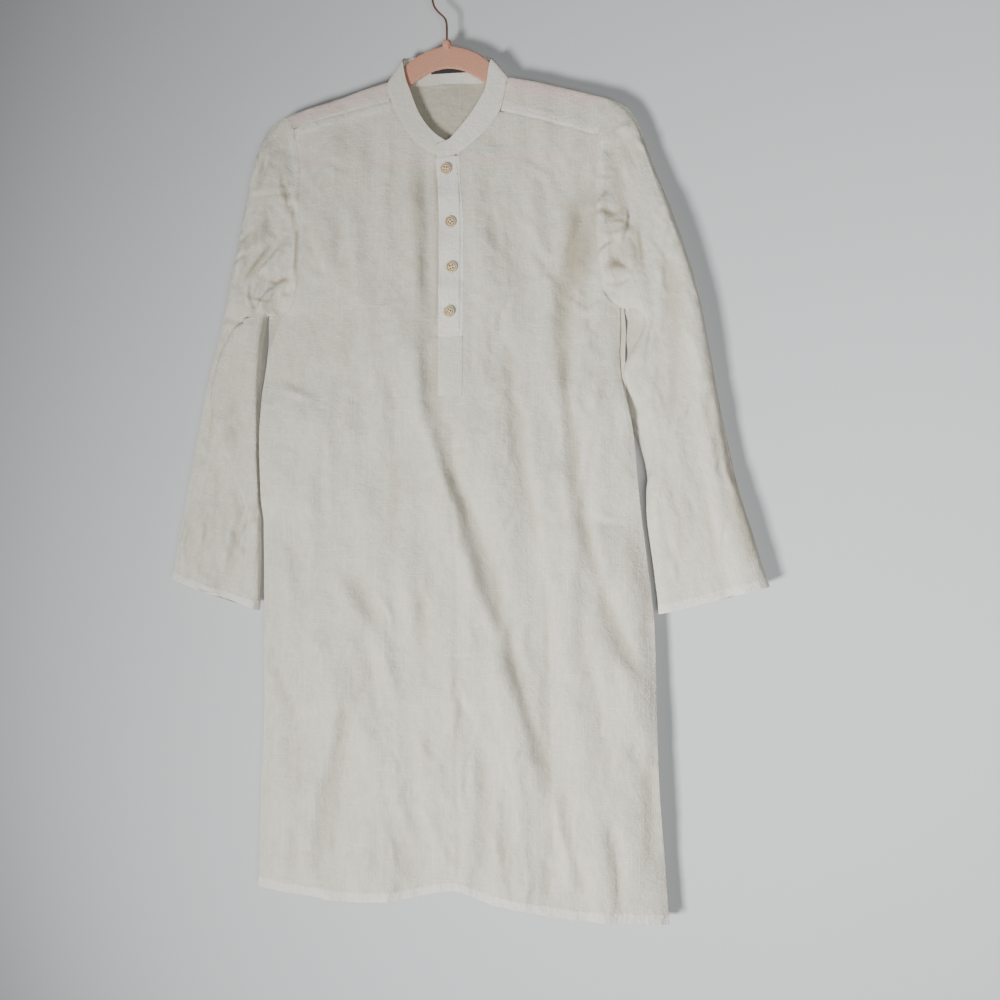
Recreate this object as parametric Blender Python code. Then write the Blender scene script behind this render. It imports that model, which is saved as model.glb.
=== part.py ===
"""Kurta tunic with a band collar, hanging flat on a slim arched hanger.

Frame: metres, +Z up. The origin is the inside of the hook's top, where the hook bears on a
rail or peg. +X is the wearer's left, -Y is the front. Every table is in millimetres.

The cloth is a wall CLOTH thick. Each cut piece is a grid of points on its inner face, and
its outer face is those points moved out. Neighbouring pieces take the points of one seam
line, each moved off it by half of the seam gap, so that they meet edge to edge.
"""
import math

import bmesh
import bpy
import numpy as np

MM = 0.001
CLOTH = 1.2             # wall of one layer of cloth
HALF_GAP = 0.15         # each piece stops this far from its seam line
LAY_GAP = 0.3           # between a panel and what lies on it
CUFF_DEPTH = 12.0       # turned-up hem of the sleeves
HEM_THICK = 2.0         # wall of a turned-up hem

FRONT, BACK = (0, -1, 0), (0, 1, 0)
AHEAD = {"front": -1, "back": 1}


def table(names, *rows):
    """A table with named columns, as one array for each name."""
    return dict(zip(names.split(), np.array(rows, float).T))


# The body's outline. Rows run up from the hem to the underarm.
OUTLINE = table(
    "z      left  centre right",
    (-1230, -254, 17,    287),
    (-1140, -254, 16,    281),
    (-1060, -252, 15,    275),
    (-940,  -246, 14,    271),
    (-830,  -249, 12,    267),
    (-740,  -249, 11,    255),
    (-660,  -251, 10,    247),
    (-590,  -252, 9,     240),
    (-555,  -250, 9,     232),
    (-520,  -248, 8,     223),
    (-485,  -240, 8,     225),
    (-441,  -223, 7,     225))

# How far the middle of each panel stands from the hanger's plane.
DEPTH = table(
    "z      front back",
    (-1230, 27,   14),
    (-1060, 27,   14),
    (-900,  25,   13),
    (-740,  22,   12),
    (-600,  19,   11),
    (-500,  16,   10),
    (-441,  13.5, 9),
    (-340,  9,    7.5),
    (-250,  5.7,  6),
    (-190,  5.4,  5.6),
    (-140,  5.2,  5.6))

# Armhole seams, up from the underarm to the corner of the yoke: place, and how far the seam
# stands forward on the front and backward on the back. The last three columns lean the edge.
ARMHOLE = {
    -1: table(
        "x    z      front back side ahead down",
        (-223, -441, 0,    0,   0.6, 0,    0.8),
        (-213, -435, 4.5,  3,   0.3, 0.6,  0.7),
        (-206, -424, 8,    5,   0.1, 0.9,  0.4),
        (-201, -405, 10,   6.5, 0,   1,    0),
        (-199, -380, 10.5, 7,   0,   1,    0),
        (-198, -340, 9,    7,   0,   1,    0),
        (-198, -300, 7.5,  6.5, 0,   1,    0),
        (-199, -265, 6.4,  6,   0,   1,    0),
        (-200, -235, 6,    5.6, 0,   1,    0),
        (-202, -212, 5.8,  5.5, 0,   1,    0),
        (-208, -193, 5.6,  5.4, 0,   1,    0)),
    1: table(
        "x    z      front back side ahead down",
        (225,  -441, 0,    0,   0.6, 0,    0.8),
        (216,  -436, 4.5,  3,   0.3, 0.6,  0.7),
        (208,  -426, 8,    5,   0.1, 0.9,  0.4),
        (202,  -408, 10,   6.5, 0,   1,    0),
        (199,  -382, 10.5, 7,   0,   1,    0),
        (196,  -345, 9,    7,   0,   1,    0),
        (195,  -305, 7.4,  6.5, 0,   1,    0),
        (196,  -268, 6.4,  6,   0,   1,    0),
        (198,  -235, 5.9,  5.6, 0,   1,    0),
        (199,  -228, 5.7,  5.5, 0,   1,    0),
        (200,  -221, 5.6,  5.4, 0,   1,    0))}
BACK_ROWS = 9                   # rows of the armhole below the back yoke seam

# The shoulder line on the cloth's inner face, from the left shoulder point to the right.
SHOULDER = table(
    "x     z",
    (-224, -179.5),
    (-200, -171.5),
    (-145, -157.5),
    (-79,  -139),
    (82,   -141),
    (123,  -149.5),
    (149,  -157),
    (200,  -172),
    (217,  -177.5))

# The yoke's cross-section over the hanger's arm, from front to back: forward, below the
# shoulder line, and how far the row reaches from the seam's end to the shoulder point.
OVER_ARM = table(
    "y     drop reach up",
    (-4.8, 7.0, 0.55, 0),
    (-4.4, 2.6, 0.8,  0.7),
    (-2.8, 0.7, 0.95, 0.95),
    (0,    0,   1,    1),
    (2.8,  0.7, 0.95, 0.95),
    (4.4,  2.6, 0.8,  0.6),
    (4.8,  7.0, 0.55, 0.1))
BACK_YOKE_SEAM = -235.0
YOKE_COLUMNS = 7                # on each shoulder
BACK_NECK_COLUMNS = 6
BACK_NECK_Z = -143.0

# The neckline on the front, from the yoke seam down to the placket's slot.
NECKLINE = {
    -1: table(
        "x   z",
        (-75, -164),
        (-69, -176),
        (-62, -190),
        (-53, -206),
        (-38, -223),
        (-22, -234),
        (-10, -239)),
    1: table(
        "x   z",
        (72, -184),
        (65, -193),
        (57, -203),
        (47, -214),
        (35, -224),
        (24, -232),
        (14, -238))}
NECK_POINT = {-1: -79.0, 1: 82.0}
NECK_MIDDLE = np.array((1.0, 0.0, -100.0))

# The front placket. The strip is PLACKET_WIDTH wide and laps the slot by PLACKET_LAP.
PLACKET = table(
    "z      left",
    (-560, -8),
    (-478, -8),
    (-330, -8),
    (-300, -8.5),
    (-270, -11),
    (-240, -14))
PLACKET_WIDTH = 31.5
PLACKET_LAP = 4.0
PLACKET_TOP = -241.5
STRIP_END = -477.0
BASE_END = -554.0
SLOT_END = -470.0
BUTTONS = table(
    "x     z",
    (0.5,  -258),
    (7,    -328),
    (9,    -387),
    (6.5,  -445))
BILLOW = 4.0                    # the strip bulges this far between two buttons
BUTTON_HOLD = 8.5               # and lies flat this far round each button
FLAT_HALF, FLAT_EASE = 24.0, 14.0       # folds keep this far from the placket's centre

# The hem of the front and back, from the wearer's right to the left.
HEM = table(
    "x     z",
    (-254, -1205),
    (-193, -1208),
    (-116, -1212),
    (-45,  -1204),
    (5,    -1192),
    (22,   -1191),
    (50,   -1203),
    (99,   -1211),
    (151,  -1219),
    (202,  -1223),
    (287,  -1227))
VENT_TOP = -835.0

# Heights of the panels' rows from the hem to the underarm, where the hem hangs at HEM_MEAN.
HEM_MEAN = -1210.0
FRONT_ROWS = (-1210, -1198.5, -1197, -1160, -1120, -1085, -1050, -1015, -980, -945, -910, -875, -835,
              -795, -755, -717, -690, -660, -628, -596, -565, -533, -500, -470, -441)
BACK_PANEL_ROWS = (-1210, -1198.5, -1197, -1140, -1080, -1020, -960, -900, -835, -770, -700, -630, -565,
                   -500, -441)

# Large folds of the front and back. A fold is a soft ridge (+) or trough (-) that follows
# a path of x, z points; both fade out towards the path's ends.
FRONT_FOLDS = (
    # name, height, half width, path
    ("ridge beside the placket", 3, 13, (-56, -250), (-55, -380), (-56, -500)),
    ("trough beside the placket", -3, 12, (-28, -250), (-28, -380), (-28, -500)),
    ("diagonal ridge", 5, 16, (-50, -470), (-30, -585), (8, -702), (44, -817), (80, -939), (104, -1060)),
    ("diagonal trough", -6, 14, (-20, -470), (-2, -585), (38, -702), (74, -817), (104, -930), (116, -980)),
    ("long valley", -6, 13, (84, -460), (98, -594), (121, -758), (132, -842), (135, -1021), (133, -1235)),
    ("ridge right of the valley", 4, 16, (124, -560), (154, -758), (166, -900), (168, -1020)),
    ("low trough", -4, 12, (158, -1050), (166, -1120), (182, -1200)),
    ("broad valley", -8, 20, (166, -346), (158, -485), (164, -587), (178, -689), (216, -841), (256, -925)),
    ("side ridge", 4, 14, (204, -600), (214, -740), (244, -840)),
    ("narrow valley", -5, 8, (178, -816), (181, -880), (199, -960), (217, -1080)),
    ("hem pleat ridge", 4, 8, (200, -1080), (210, -1150), (216, -1235)),
    ("hem pleat trough", -5, 8, (216, -1080), (228, -1150), (233, -1235)),
    ("edge trough", -5, 11, (262, -960), (263, -1080), (262, -1180)),
    ("left soft hollow", -4, 18, (-128, -740), (-112, -810), (-94, -880)),
    ("left ridge", 5, 12, (-128, -880), (-140, -960), (-168, -1080), (-184, -1200)),
    ("left trough", -6, 11, (-98, -880), (-110, -950), (-132, -1040), (-150, -1190)),
    ("crease above the left vent", -3.5, 6, (-236, -850), (-224, -936), (-202, -980), (-186, -1090)),
    ("centre crease", 2.2, 7, (6, -570), (12, -700), (17, -900), (20, -1230)))
BACK_FOLDS = (
    ("left hollow", -4, 22, (-150, -300), (-158, -700), (-176, -1230)),
    ("left swell", 4, 24, (-84, -270), (-92, -700), (-104, -1230)),
    ("centre crease", 2, 8, (4, -420), (8, -800), (14, -1230)),
    ("right hollow", -4, 20, (66, -330), (86, -760), (96, -1230)),
    ("right swell", 4, 24, (142, -420), (158, -800), (176, -1230)),
    ("edge hollow", -3, 16, (214, -560), (226, -900), (238, -1180)))
FOLD_FADE = 60.0                # a fold dies out over this length at each end

# Pockets hang inside the side seams: the bag's top at the seam, how many rows of the front
# it drops by at the inner edge, and its bottom.
POCKET = {
    -1: {"top_out": -530.0, "slant": 0.7, "bottom": -715.0},
    1: {"top_out": -537.0, "slant": 0.4, "bottom": -718.0}}
POCKET_COLUMNS = {-1: 4, 1: 3}  # columns of the front that a bag reaches in from the seam
POCKET_MOUTH = (-565.0, -692.0)
MOUTH_RAMP = 26.0
MOUTH_DEPTH = 8.5
MOUTH_SEAT = 5.6                # a bag starts where the front stands this far forward
BAG_HOLLOW = 9.0
SEWN_GAP = 0.4                  # between a bag's layers at its sewn top and bottom
SLANT_GAP = 1.6                 # a bag's slanting top stands this much further in

# Sleeve sections, from the armhole to the cuff: the outer fold, the inner edge, how far the
# front and back layers stand out, and the part turned forward over the front layer. 'low' is
# the depth of the layer under it; 'foot' and 'top' are its foot and its tip from the inner edge.
SLEEVE = {
    -1: table(
        "out_x out_z in_x  in_z  front back low foot top",
        (-241, -191, -227, -443, 8,    6,   8,  0,   0),
        (-256, -220, -231, -444, 9,    6,   9,  0,   2),
        (-267, -258, -235, -444, 10,   6,   10, 0,   5),
        (-276, -302, -239, -444, 11,   7,   11, 0,   8),
        (-286, -352, -242, -443, 12,   7,   12, 0,   11),
        (-294, -390, -245, -444, 12,   7,   10, 18,  13),
        (-299, -418, -247, -448, 11.5, 7,   9.9, 21.9, 16.7),
        (-301, -429, -248, -453, 11.2, 7,   5.7, 20.4, 16.7),
        (-302, -438, -249, -457, 11,   7,   2.4, 21.6, 27.0),
        (-304, -445, -249, -461, 11,   7,   1.5, 17.8, 27.3),
        (-306, -452, -250, -465, 11,   7,   4.6, 11.6, 35.6),
        (-308, -462, -251, -471, 11,   7,   2.1, 5.7, 40.5),
        (-315, -488, -253, -493, 11,   7,   1.5, 5,  52),
        (-325, -525, -257, -532, 10.5, 6.5, 1.5, 5,  61),
        (-335, -568, -258, -580, 10.5, 6.5, 1.5, 5,  64),
        (-345, -615, -257, -630, 10.5, 6.5, 1.5, 5,  48),
        (-353, -660, -255, -680, 10.5, 6.5, 2,  6,   28),
        (-356, -675, -255, -696, 10.3, 6.5, 2.8, 10, 21),
        (-358, -688, -254, -709, 10,   6.5, 3.8, 13, 17),
        (-361, -702, -254, -724, 10,   6.5, 5,  16,  14),
        (-368, -735, -254, -762, 9,    6.5, 7.5, 18, 11),
        (-373, -765, -255, -798, 9,    6.5, 9,  0,   8),
        (-378, -797, -256, -836, 9,    6.5, 9,  0,   6)),
    1: table(
        "out_x out_z in_x in_z  front back low foot top",
        (234, -187, 229, -443, 8,    6,   8,    0, 0),
        (248, -210, 233, -443, 9,    6,   9,    0, 0),
        (260, -243, 237, -443, 10,   6,   10,   0, 0),
        (272, -277, 241, -443, 11,   7,   11,   0, 0),
        (288, -315, 246, -444, 12,   7,   12,   0, 0),
        (303, -358, 251, -448, 12,   7,   12,   0, 0),
        (316, -398, 256, -454, 12,   7,   12,   0, 0),
        (326, -434, 260, -464, 12,   7,   12,   0, 0),
        (332, -468, 252, -481, 11,   7,   11,   0, 0),
        (338, -500, 239, -501, 11,   7,   11,   0, 0),
        (343, -530, 230, -523, 10,   7,   10,   0, 0),
        (348, -558, 237, -549, 10,   7,   10,   0, 0),
        (354, -590, 254, -577, 10,   7,   10,   0, 0),
        (361, -622, 268, -608, 10,   7,   10,   0, 0),
        (368, -655, 267, -640, 10,   7,   10,   0, 0),
        (377, -688, 260, -674, 10,   7,   10,   0, 0),
        (388, -722, 261, -714, 9.5,  7,   9.5,  0, 0),
        (400, -762, 269, -770, 9,    6.5, 9,    0, 0),
        (411, -798, 277, -834, 9,    6.5, 9,    0, 0))}
FOLD_LAYER = 4.0                # from one folded layer's inner face to the next one's
KEYS = 5                        # turns of a section's folded part, on each run
EVEN_AFTER = 6                  # rings from the armhole until a sleeve's points lie evenly

# The band collar's top edge, by its place along the neck seam: 0 is the tucked end at the
# front, 1 the lapping end. Height and lean are measured from the seam.
COLLAR = table(
    "along  rise  lean  forward",
    (0.00,  17,   2,    0.5),
    (0.06,  22,   6,    1),
    (0.14,  26,   13,   1.5),
    (0.24,  27,   20,   1.5),
    (0.30,  28,   20.5, 0.8),
    (0.315, 29.4, 20.6, 0.6),
    (0.336, 40,   25,   0.3),
    (0.39,  37,   18,   0),
    (0.46,  36.8, 8,    0),
    (0.50,  36.7, 0,    0),
    (0.54,  36.6, -8,   0),
    (0.606, 36.3, -19.5, 0),
    (0.661, 37,   -25,  0.3),
    (0.683, 26.2, -22.5, 0.6),
    (0.704, 27.2, -22,  1),
    (0.76,  28,   -20,  1.5),
    (0.86,  26,   -14,  2),
    (0.94,  23,   -6,   1.5),
    (1.00,  16,   0,    1))
COLLAR_ROWS = 3

# The hanger's frame from the middle of its arch to a shoulder tip, and on round to the middle
# of the trouser bar: its outer and its inner line. The arms' outer line follows the shoulder.
ARCH = table(
    "x     z       in_x  in_z",
    (0,    -93.7,  0,    -123.4),
    (25.3, -99.2,  16.7, -126.2),
    (44.9, -108.3, 29.1, -131.6),
    (59,   -121,   42.5, -140),
    (70,   -134,   57,   -150.5))
ARM = table(
    "x    tall",
    (77,  21),
    (90,  20.5),
    (118, 20),
    (150, 19),
    (180, 17),
    (203, 13))
TIP_AND_BAR = table(
    "x      z       in_x   in_z",
    (212,   -184.5, 204,   -191.5),
    (217,   -200,   208,   -201),
    (214,   -221.6, 205.8, -218.4),
    (202,   -241.4, 196,   -234.6),
    (180.5, -251,   179.5, -242),
    (100,   -252.5, 100,   -243.5),
    (0,     -252.5, 0,     -243.5))
ARM_SEAT = 0.5                  # the cloth lies this far above the arms
HANGER_THICK = 5.5
NUB = {"radius": 6.2, "top": -87.5, "bottom": -100.0}

# The hook: one wire, from its end in the nub up to the tip.
WIRE = 1.8                      # radius of the wire
HOOK_RADIUS = 21.0              # of the wire's centre line
HOOK_CENTRE_Z = -HOOK_RADIUS + WIRE
STEM = ((0, -94), (0, -80), (0, -69), (-0.7, -63), (-2.3, -59), (-5, -56), (-9, -52.2),
        (-12.6, -48.6), (-15.9, -44.2), (-18.1, -39.6), (-19.2, -34), (-20.2, -27.5))
HOOK_START, HOOK_END = math.radians(187), math.radians(-24)
SOCKET = 2.2                    # radius of the nub's socket

LABEL = {"left": -22.0, "right": 30.0, "bottom": -128.8, "top": -110.0, "thick": 1.0}

BUTTON = {"radius": 7.3, "thick": 2.6, "rim": 1.4, "dish": 0.6, "hole": 1.0, "spread": 2.1}


# ---------------------------------------------------------------- curves and surfaces

def read(source, column, where, key="z"):
    """A table's column read off a smooth curve through its rows."""
    order = np.argsort(source[key], kind="stable")
    xs, ys = source[key][order], source[column][order]
    where = np.clip(np.asarray(where, float), xs[0], xs[-1])
    slope = np.gradient(ys, xs)
    i = np.clip(np.searchsorted(xs, where, side="right") - 1, 0, len(xs) - 2)
    span = xs[i + 1] - xs[i]
    t = (where - xs[i]) / span
    start = (1 + 2 * t) * (1 - t) ** 2 * ys[i] + t * (1 - t) ** 2 * span * slope[i]
    end = t * t * (3 - 2 * t) * ys[i + 1] + t * t * (t - 1) * span * slope[i + 1]
    return start + end


def ease(t):
    """0 to 1 with a soft start and end."""
    t = np.clip(t, 0, 1)
    return t * t * (3 - 2 * t)


def fold_height(folds, x, z):
    """The height that all of a panel's folds add at x, z."""
    total = 0.0
    for _, height, half_width, *path in folds:
        px, pz = np.array(path, float).T
        middle = np.interp(z, pz[::-1], px[::-1])
        fade = ease((pz[0] - z) / FOLD_FADE) * ease((z - pz[-1]) / FOLD_FADE + (pz[-1] < -1220))
        total += height * fade * math.exp(-0.5 * ((x - middle) / half_width) ** 2)
    return total


def edges(z):
    """Left edge, centre and right edge of the body at a height."""
    if z < OUTLINE["z"][-1]:
        return tuple(float(read(OUTLINE, name, z)) for name in ("left", "centre", "right"))
    return (float(read(ARMHOLE[-1], "x", z)), float(OUTLINE["centre"][-1]),
            float(read(ARMHOLE[1], "x", z)))


def mouth(z):
    """1 along a pocket's mouth and 0 above and below it."""
    top, bottom = POCKET_MOUTH
    return float(ease((top + MOUTH_RAMP - z) / MOUTH_RAMP) * ease((z - bottom + MOUTH_RAMP) / MOUTH_RAMP))


def depth(panel, x, z):
    """How far the inner face of the front or back stands from the hanger's plane."""
    left, centre, right = edges(z)
    side = 1 if x > centre else -1
    across = min(1.0, (x - centre) / (right - centre) if side > 0 else (centre - x) / (centre - left))
    if z > OUTLINE["z"][-1]:
        edge = float(read(ARMHOLE[side], panel, z))
    else:
        vent = float(ease((VENT_TOP - z) / 60)) * 3.0
        edge = HALF_GAP + vent + (MOUTH_DEPTH * mouth(z) if panel == "front" else 0.0)
    middle = float(read(DEPTH, panel, z))
    folds = fold_height(FRONT_FOLDS if panel == "front" else BACK_FOLDS, x, z)
    if panel == "front":
        beside = abs(x - float(read(PLACKET, "left", z)) - PLACKET_WIDTH / 2)
        folds *= 1 - float(ease((FLAT_HALF + FLAT_EASE - beside) / FLAT_EASE) * ease((z + 590) / 40))
    return edge + (middle - edge) * math.sqrt(1 - across ** 3) + folds * (1 - across ** 6)


def on_front(x, z, out=0.0):
    """A point on the front's inner face, or moved out from it towards the viewer."""
    return (x, -depth("front", x, z) - out, z)


def unit(v):
    v = np.asarray(v, float)
    return v / np.maximum(np.linalg.norm(v, axis=-1, keepdims=True), 1e-9)


def surface_normals(grid, ring=False):
    """Unit normals of a grid of points; ring closes the grid along its columns."""
    down = np.gradient(grid, axis=0)
    if ring:
        over = unit(np.roll(grid, -1, axis=1) - grid) + unit(grid - np.roll(grid, 1, axis=1))
    else:
        over = np.gradient(grid, axis=1)
    return unit(np.cross(over, down))


# ---------------------------------------------------------------- mesh building

def material(name, colour, roughness, metallic=0.0):
    made = bpy.data.materials.new(name)
    made.use_nodes = True
    shader = made.node_tree.nodes["Principled BSDF"]
    shader.inputs["Base Color"].default_value = (*colour, 1)
    shader.inputs["Roughness"].default_value = roughness
    shader.inputs["Metallic"].default_value = metallic
    return made


def make_object(name, mesh, finish, smooth=True):
    obj = bpy.data.objects.new(name, mesh)
    bpy.context.scene.collection.objects.link(obj)
    mesh.materials.append(finish)
    if smooth:
        mesh.shade_smooth()
        mesh.set_sharp_from_angle(angle=math.radians(40))
    return obj


def split(grid, r, c):
    """A cell's two triangles, split along its shorter diagonal, as (row, column) corners."""
    n = (c + 1) % grid.shape[1]
    corners = ((r, c), (r, n), (r + 1, n), (r + 1, c))
    diagonals = [np.linalg.norm(grid[corners[k]] - grid[corners[k + 2]]) for k in (0, 1)]
    turn = int(diagonals[1] < diagonals[0])
    a, b, c, d = corners[turn:] + corners[:turn]
    return (a, b, c), (a, c, d)


def cloth(name, grid, outward, finish, thick=CLOTH, ring=False, keep=None):
    """A wall of cloth: an inner grid, the same grid moved outward, and a rim between them.

    keep(row, column) says which cells are cloth. thick may be one number or one for each row.
    """
    rows, columns = grid.shape[:2]
    thick = np.broadcast_to(np.asarray(thick, float), (rows,))
    outer = grid + outward * thick[:, None, None]
    span = columns if ring else columns - 1
    cells = [(r, c) for r in range(rows - 1) for c in range(span) if keep is None or keep(r, c)]
    mesh_maker = bmesh.new()
    made = {}

    def vertex(skin, r, c):
        key = (skin, r, c % columns)
        if key not in made:
            point = (grid, outer)[skin][r, c % columns]
            made[key] = mesh_maker.verts.new(tuple(float(v) * MM for v in point))
        return made[key]

    seen = {}
    for r, c in cells:
        for triangle in split(grid, r, c):
            mesh_maker.faces.new([vertex(0, *corner) for corner in triangle])
            mesh_maker.faces.new([vertex(1, *corner) for corner in reversed(triangle)])
        corners = ((r, c), (r, c + 1), (r + 1, c + 1), (r + 1, c))
        for a, b in zip(corners, corners[1:] + corners[:1]):
            a, b = (a[0], a[1] % columns), (b[0], b[1] % columns)
            seen.setdefault(frozenset((a, b)), []).append((a, b))
    for uses in seen.values():
        if len(uses) == 1:
            a, b = uses[0]
            rim = [vertex(0, *b), vertex(0, *a), vertex(1, *a), vertex(1, *b)]
            if (rim[0].co - rim[2].co).length > (rim[1].co - rim[3].co).length:
                rim = rim[1:] + rim[:1]
            mesh_maker.faces.new(rim[:3])
            mesh_maker.faces.new([rim[0], rim[2], rim[3]])
    bmesh.ops.recalc_face_normals(mesh_maker, faces=mesh_maker.faces)
    mesh = bpy.data.meshes.new(name)
    mesh_maker.to_mesh(mesh)
    mesh_maker.free()
    return make_object(name, mesh, finish)


def off_seam(points, lean, towards):
    """Unit steps across a seam line, in the cloth, to the side where 'towards' points."""
    along = np.gradient(points, axis=0)
    across = unit(np.cross(along, lean))
    flip = np.sign(np.sum(across * towards, axis=1, keepdims=True))
    return across * np.where(flip == 0, 1, flip)


# ---------------------------------------------------------------- seam lines

def armhole_line(side, panel):
    """The armhole seam on the front or back, up from the underarm, and the cloth's lean."""
    rows = ARMHOLE[side]
    count = len(rows["x"]) if panel == "front" else BACK_ROWS
    ahead = AHEAD[panel]
    points = np.stack([rows["x"], ahead * rows[panel], rows["z"]], axis=1)[:count]
    lean = np.stack([side * rows["side"], ahead * rows["ahead"], -rows["down"]], axis=1)[:count]
    return points, unit(lean)


def armhole_ring(side):
    """The armhole seam as a ring: up the front, over the shoulder, down the back.

    Gives its points, the cloth's lean there, and the way off the seam towards the sleeve.
    """
    front, front_lean = armhole_line(side, "front")
    back, back_lean = armhole_line(side, "back")
    over, over_lean = shoulder_end(side)
    points = np.concatenate([front, over[1:-1], back[::-1][:-1]])
    lean = np.concatenate([front_lean, over_lean[1:-1], back_lean[::-1][:-1]])
    along = unit(np.roll(points, -1, axis=0) - points) + unit(points - np.roll(points, 1, axis=0))
    away = unit(np.cross(along, lean)) * side
    return points, lean, away


def shoulder_end(side):
    """The yoke's end at the armhole, from its front corner over the arm to its back corner."""
    front_corner = armhole_line(side, "front")[0][-1]
    back_corner = armhole_line(side, "back")[0][-1]
    tip = SHOULDER["x"][0 if side < 0 else -1]
    points, lean = [front_corner], [FRONT]
    for y, drop, reach, up in zip(*(OVER_ARM[name] for name in ("y", "drop", "reach", "up"))):
        x = front_corner[0] + (tip - front_corner[0]) * reach
        points.append((x, y, float(read(SHOULDER, "z", x, "x")) - drop))
        lean.append((0, math.copysign(1 - up, y), up))
    low = (points[-1] + back_corner) / 2
    points += [tuple(low), tuple(back_corner)]
    lean += [BACK, BACK]
    return np.array(points, float), unit(lean)


def neck_end(side):
    """The yoke's edge at the neck, from its front corner over the arm to the back neckline."""
    x0, z0 = NECKLINE[side]["x"][0], NECKLINE[side]["z"][0]
    points, lean = [on_front(x0, z0)], [FRONT]
    for y, drop, reach, up in zip(*(OVER_ARM[name] for name in ("y", "drop", "reach", "up"))):
        x = x0 + (NECK_POINT[side] - x0) * min(1.0, reach + 0.2)
        points.append((x, y, float(read(SHOULDER, "z", NECK_POINT[side], "x")) - drop))
        lean.append((0, math.copysign(1 - up, y), up))
    return np.array(points, float), unit(lean)


def yoke_seam(side):
    """The front yoke seam, from the armhole to the neck."""
    x0, z0 = ARMHOLE[side]["x"][-1], ARMHOLE[side]["z"][-1]
    x1, z1 = NECKLINE[side]["x"][0], NECKLINE[side]["z"][0]
    places = [(x0 + (x1 - x0) * t, z0 + (z1 - z0) * t) for t in np.linspace(0, 1, YOKE_COLUMNS + 1)]
    points = [on_front(x, z) for x, z in places]
    points[0] = tuple(armhole_line(side, "front")[0][-1])
    return np.array(points, float)


def front_top(side):
    """The top edge of one half of the front, from the armhole to the placket's slot."""
    neck = [on_front(x, z) for x, z in zip(NECKLINE[side]["x"][1:], NECKLINE[side]["z"][1:])]
    return np.concatenate([yoke_seam(side), np.array(neck, float)])


def slot_edge(side, z):
    left = float(read(PLACKET, "left", z))
    return left + PLACKET_LAP if side < 0 else left + PLACKET_WIDTH - PLACKET_LAP


# ---------------------------------------------------------------- body panels

def body_grid(panel, fractions, tops, heights):
    """A panel's inner face: rows from the hem up, columns from the wearer's right to the left.

    fractions place each column between the centre and an edge: -1 left edge, 0 centre, 1 right.
    tops are the points of the panel's top edge, heights those of its rows to the underarm.
    """
    chest = OUTLINE["z"][-1]
    grid = []
    for height in heights:
        share = (height - HEM_MEAN) / (chest - HEM_MEAN)
        row = []
        for f in fractions:
            z = chest
            for _ in range(3):
                left, centre, right = edges(z)
                x = centre + (f * (right - centre) if f > 0 else -f * (left - centre))
                hem = float(read(HEM, "z", x, "x"))
                z = hem + (chest - hem) * share
            row.append((x, AHEAD[panel] * depth(panel, x, z), z))
        grid.append(row)
    chest_row = grid[-1]
    lines = {side: armhole_line(side, panel)[0] for side in (-1, 1)}
    for r in range(1, len(lines[1])):
        row = []
        for f, top, start in zip(fractions, tops, chest_row):
            line = lines[1 if f > 0 else -1]
            rise = (line[r][2] - chest) / (line[-1][2] - chest)
            z = chest + (top[2] - chest) * rise
            bow = line[r][0] - (line[0][0] + (line[-1][0] - line[0][0]) * rise)
            x = start[0] + (top[0] - start[0]) * rise + bow * f * f
            row.append((x, AHEAD[panel] * depth(panel, x, z), z))
        grid.append(row)
    return np.array(grid, float)


def panel_lean(grid, panel):
    """The way the wall grows at each point: straight ahead, turning outwards at the sides."""
    ahead = np.array((0, AHEAD[panel], 0), float)
    lean = np.tile(ahead, grid.shape[:2] + (1,))
    for column, inner, side in ((0, 1, -1), (-1, -2, 1)):
        armhole = armhole_line(side, panel)[1]
        chest = len(grid) - len(armhole)
        for r in range(chest):
            vent = float(ease((VENT_TOP - grid[r, column, 2]) / 60))
            lean[r, column] = unit((side, AHEAD[panel] * 0.6 * vent, 0))
            lean[r, inner] = unit((side * 0.45, AHEAD[panel], 0))
        lean[chest:, column] = armhole
    return lean


def stand_off(grid, panel):
    """Move a panel's armhole edges and side seams off their seam lines by half the gap."""
    for column, side in ((0, -1), (-1, 1)):
        points, _, away = armhole_ring(side)
        count = len(armhole_line(side, panel)[0])
        chest = len(grid) - count
        for k in range(count):
            at = k if panel == "front" or k == 0 else len(points) - k
            grid[chest + k, column] = points[at] - away[at] * HALF_GAP
        grid[chest, column, 1] = AHEAD[panel] * HALF_GAP


def front_fractions():
    """Columns of the front: both halves' top points, and the slot's centre line."""
    left = front_top(-1)[:, 0]
    right = front_top(1)[:, 0][::-1]
    chest_left, centre, chest_right = edges(OUTLINE["z"][-1])
    slot_left = (slot_edge(-1, SLOT_END) - centre) / (centre - chest_left)
    slot_right = (slot_edge(1, SLOT_END) - centre) / (chest_right - centre)
    return np.concatenate([-1 + (left - left[0]) / (left[-1] - left[0]) * (1 + slot_left), [0.0],
                           slot_right + (right - right[0]) / (right[-1] - right[0]) * (1 - slot_right)])


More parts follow.
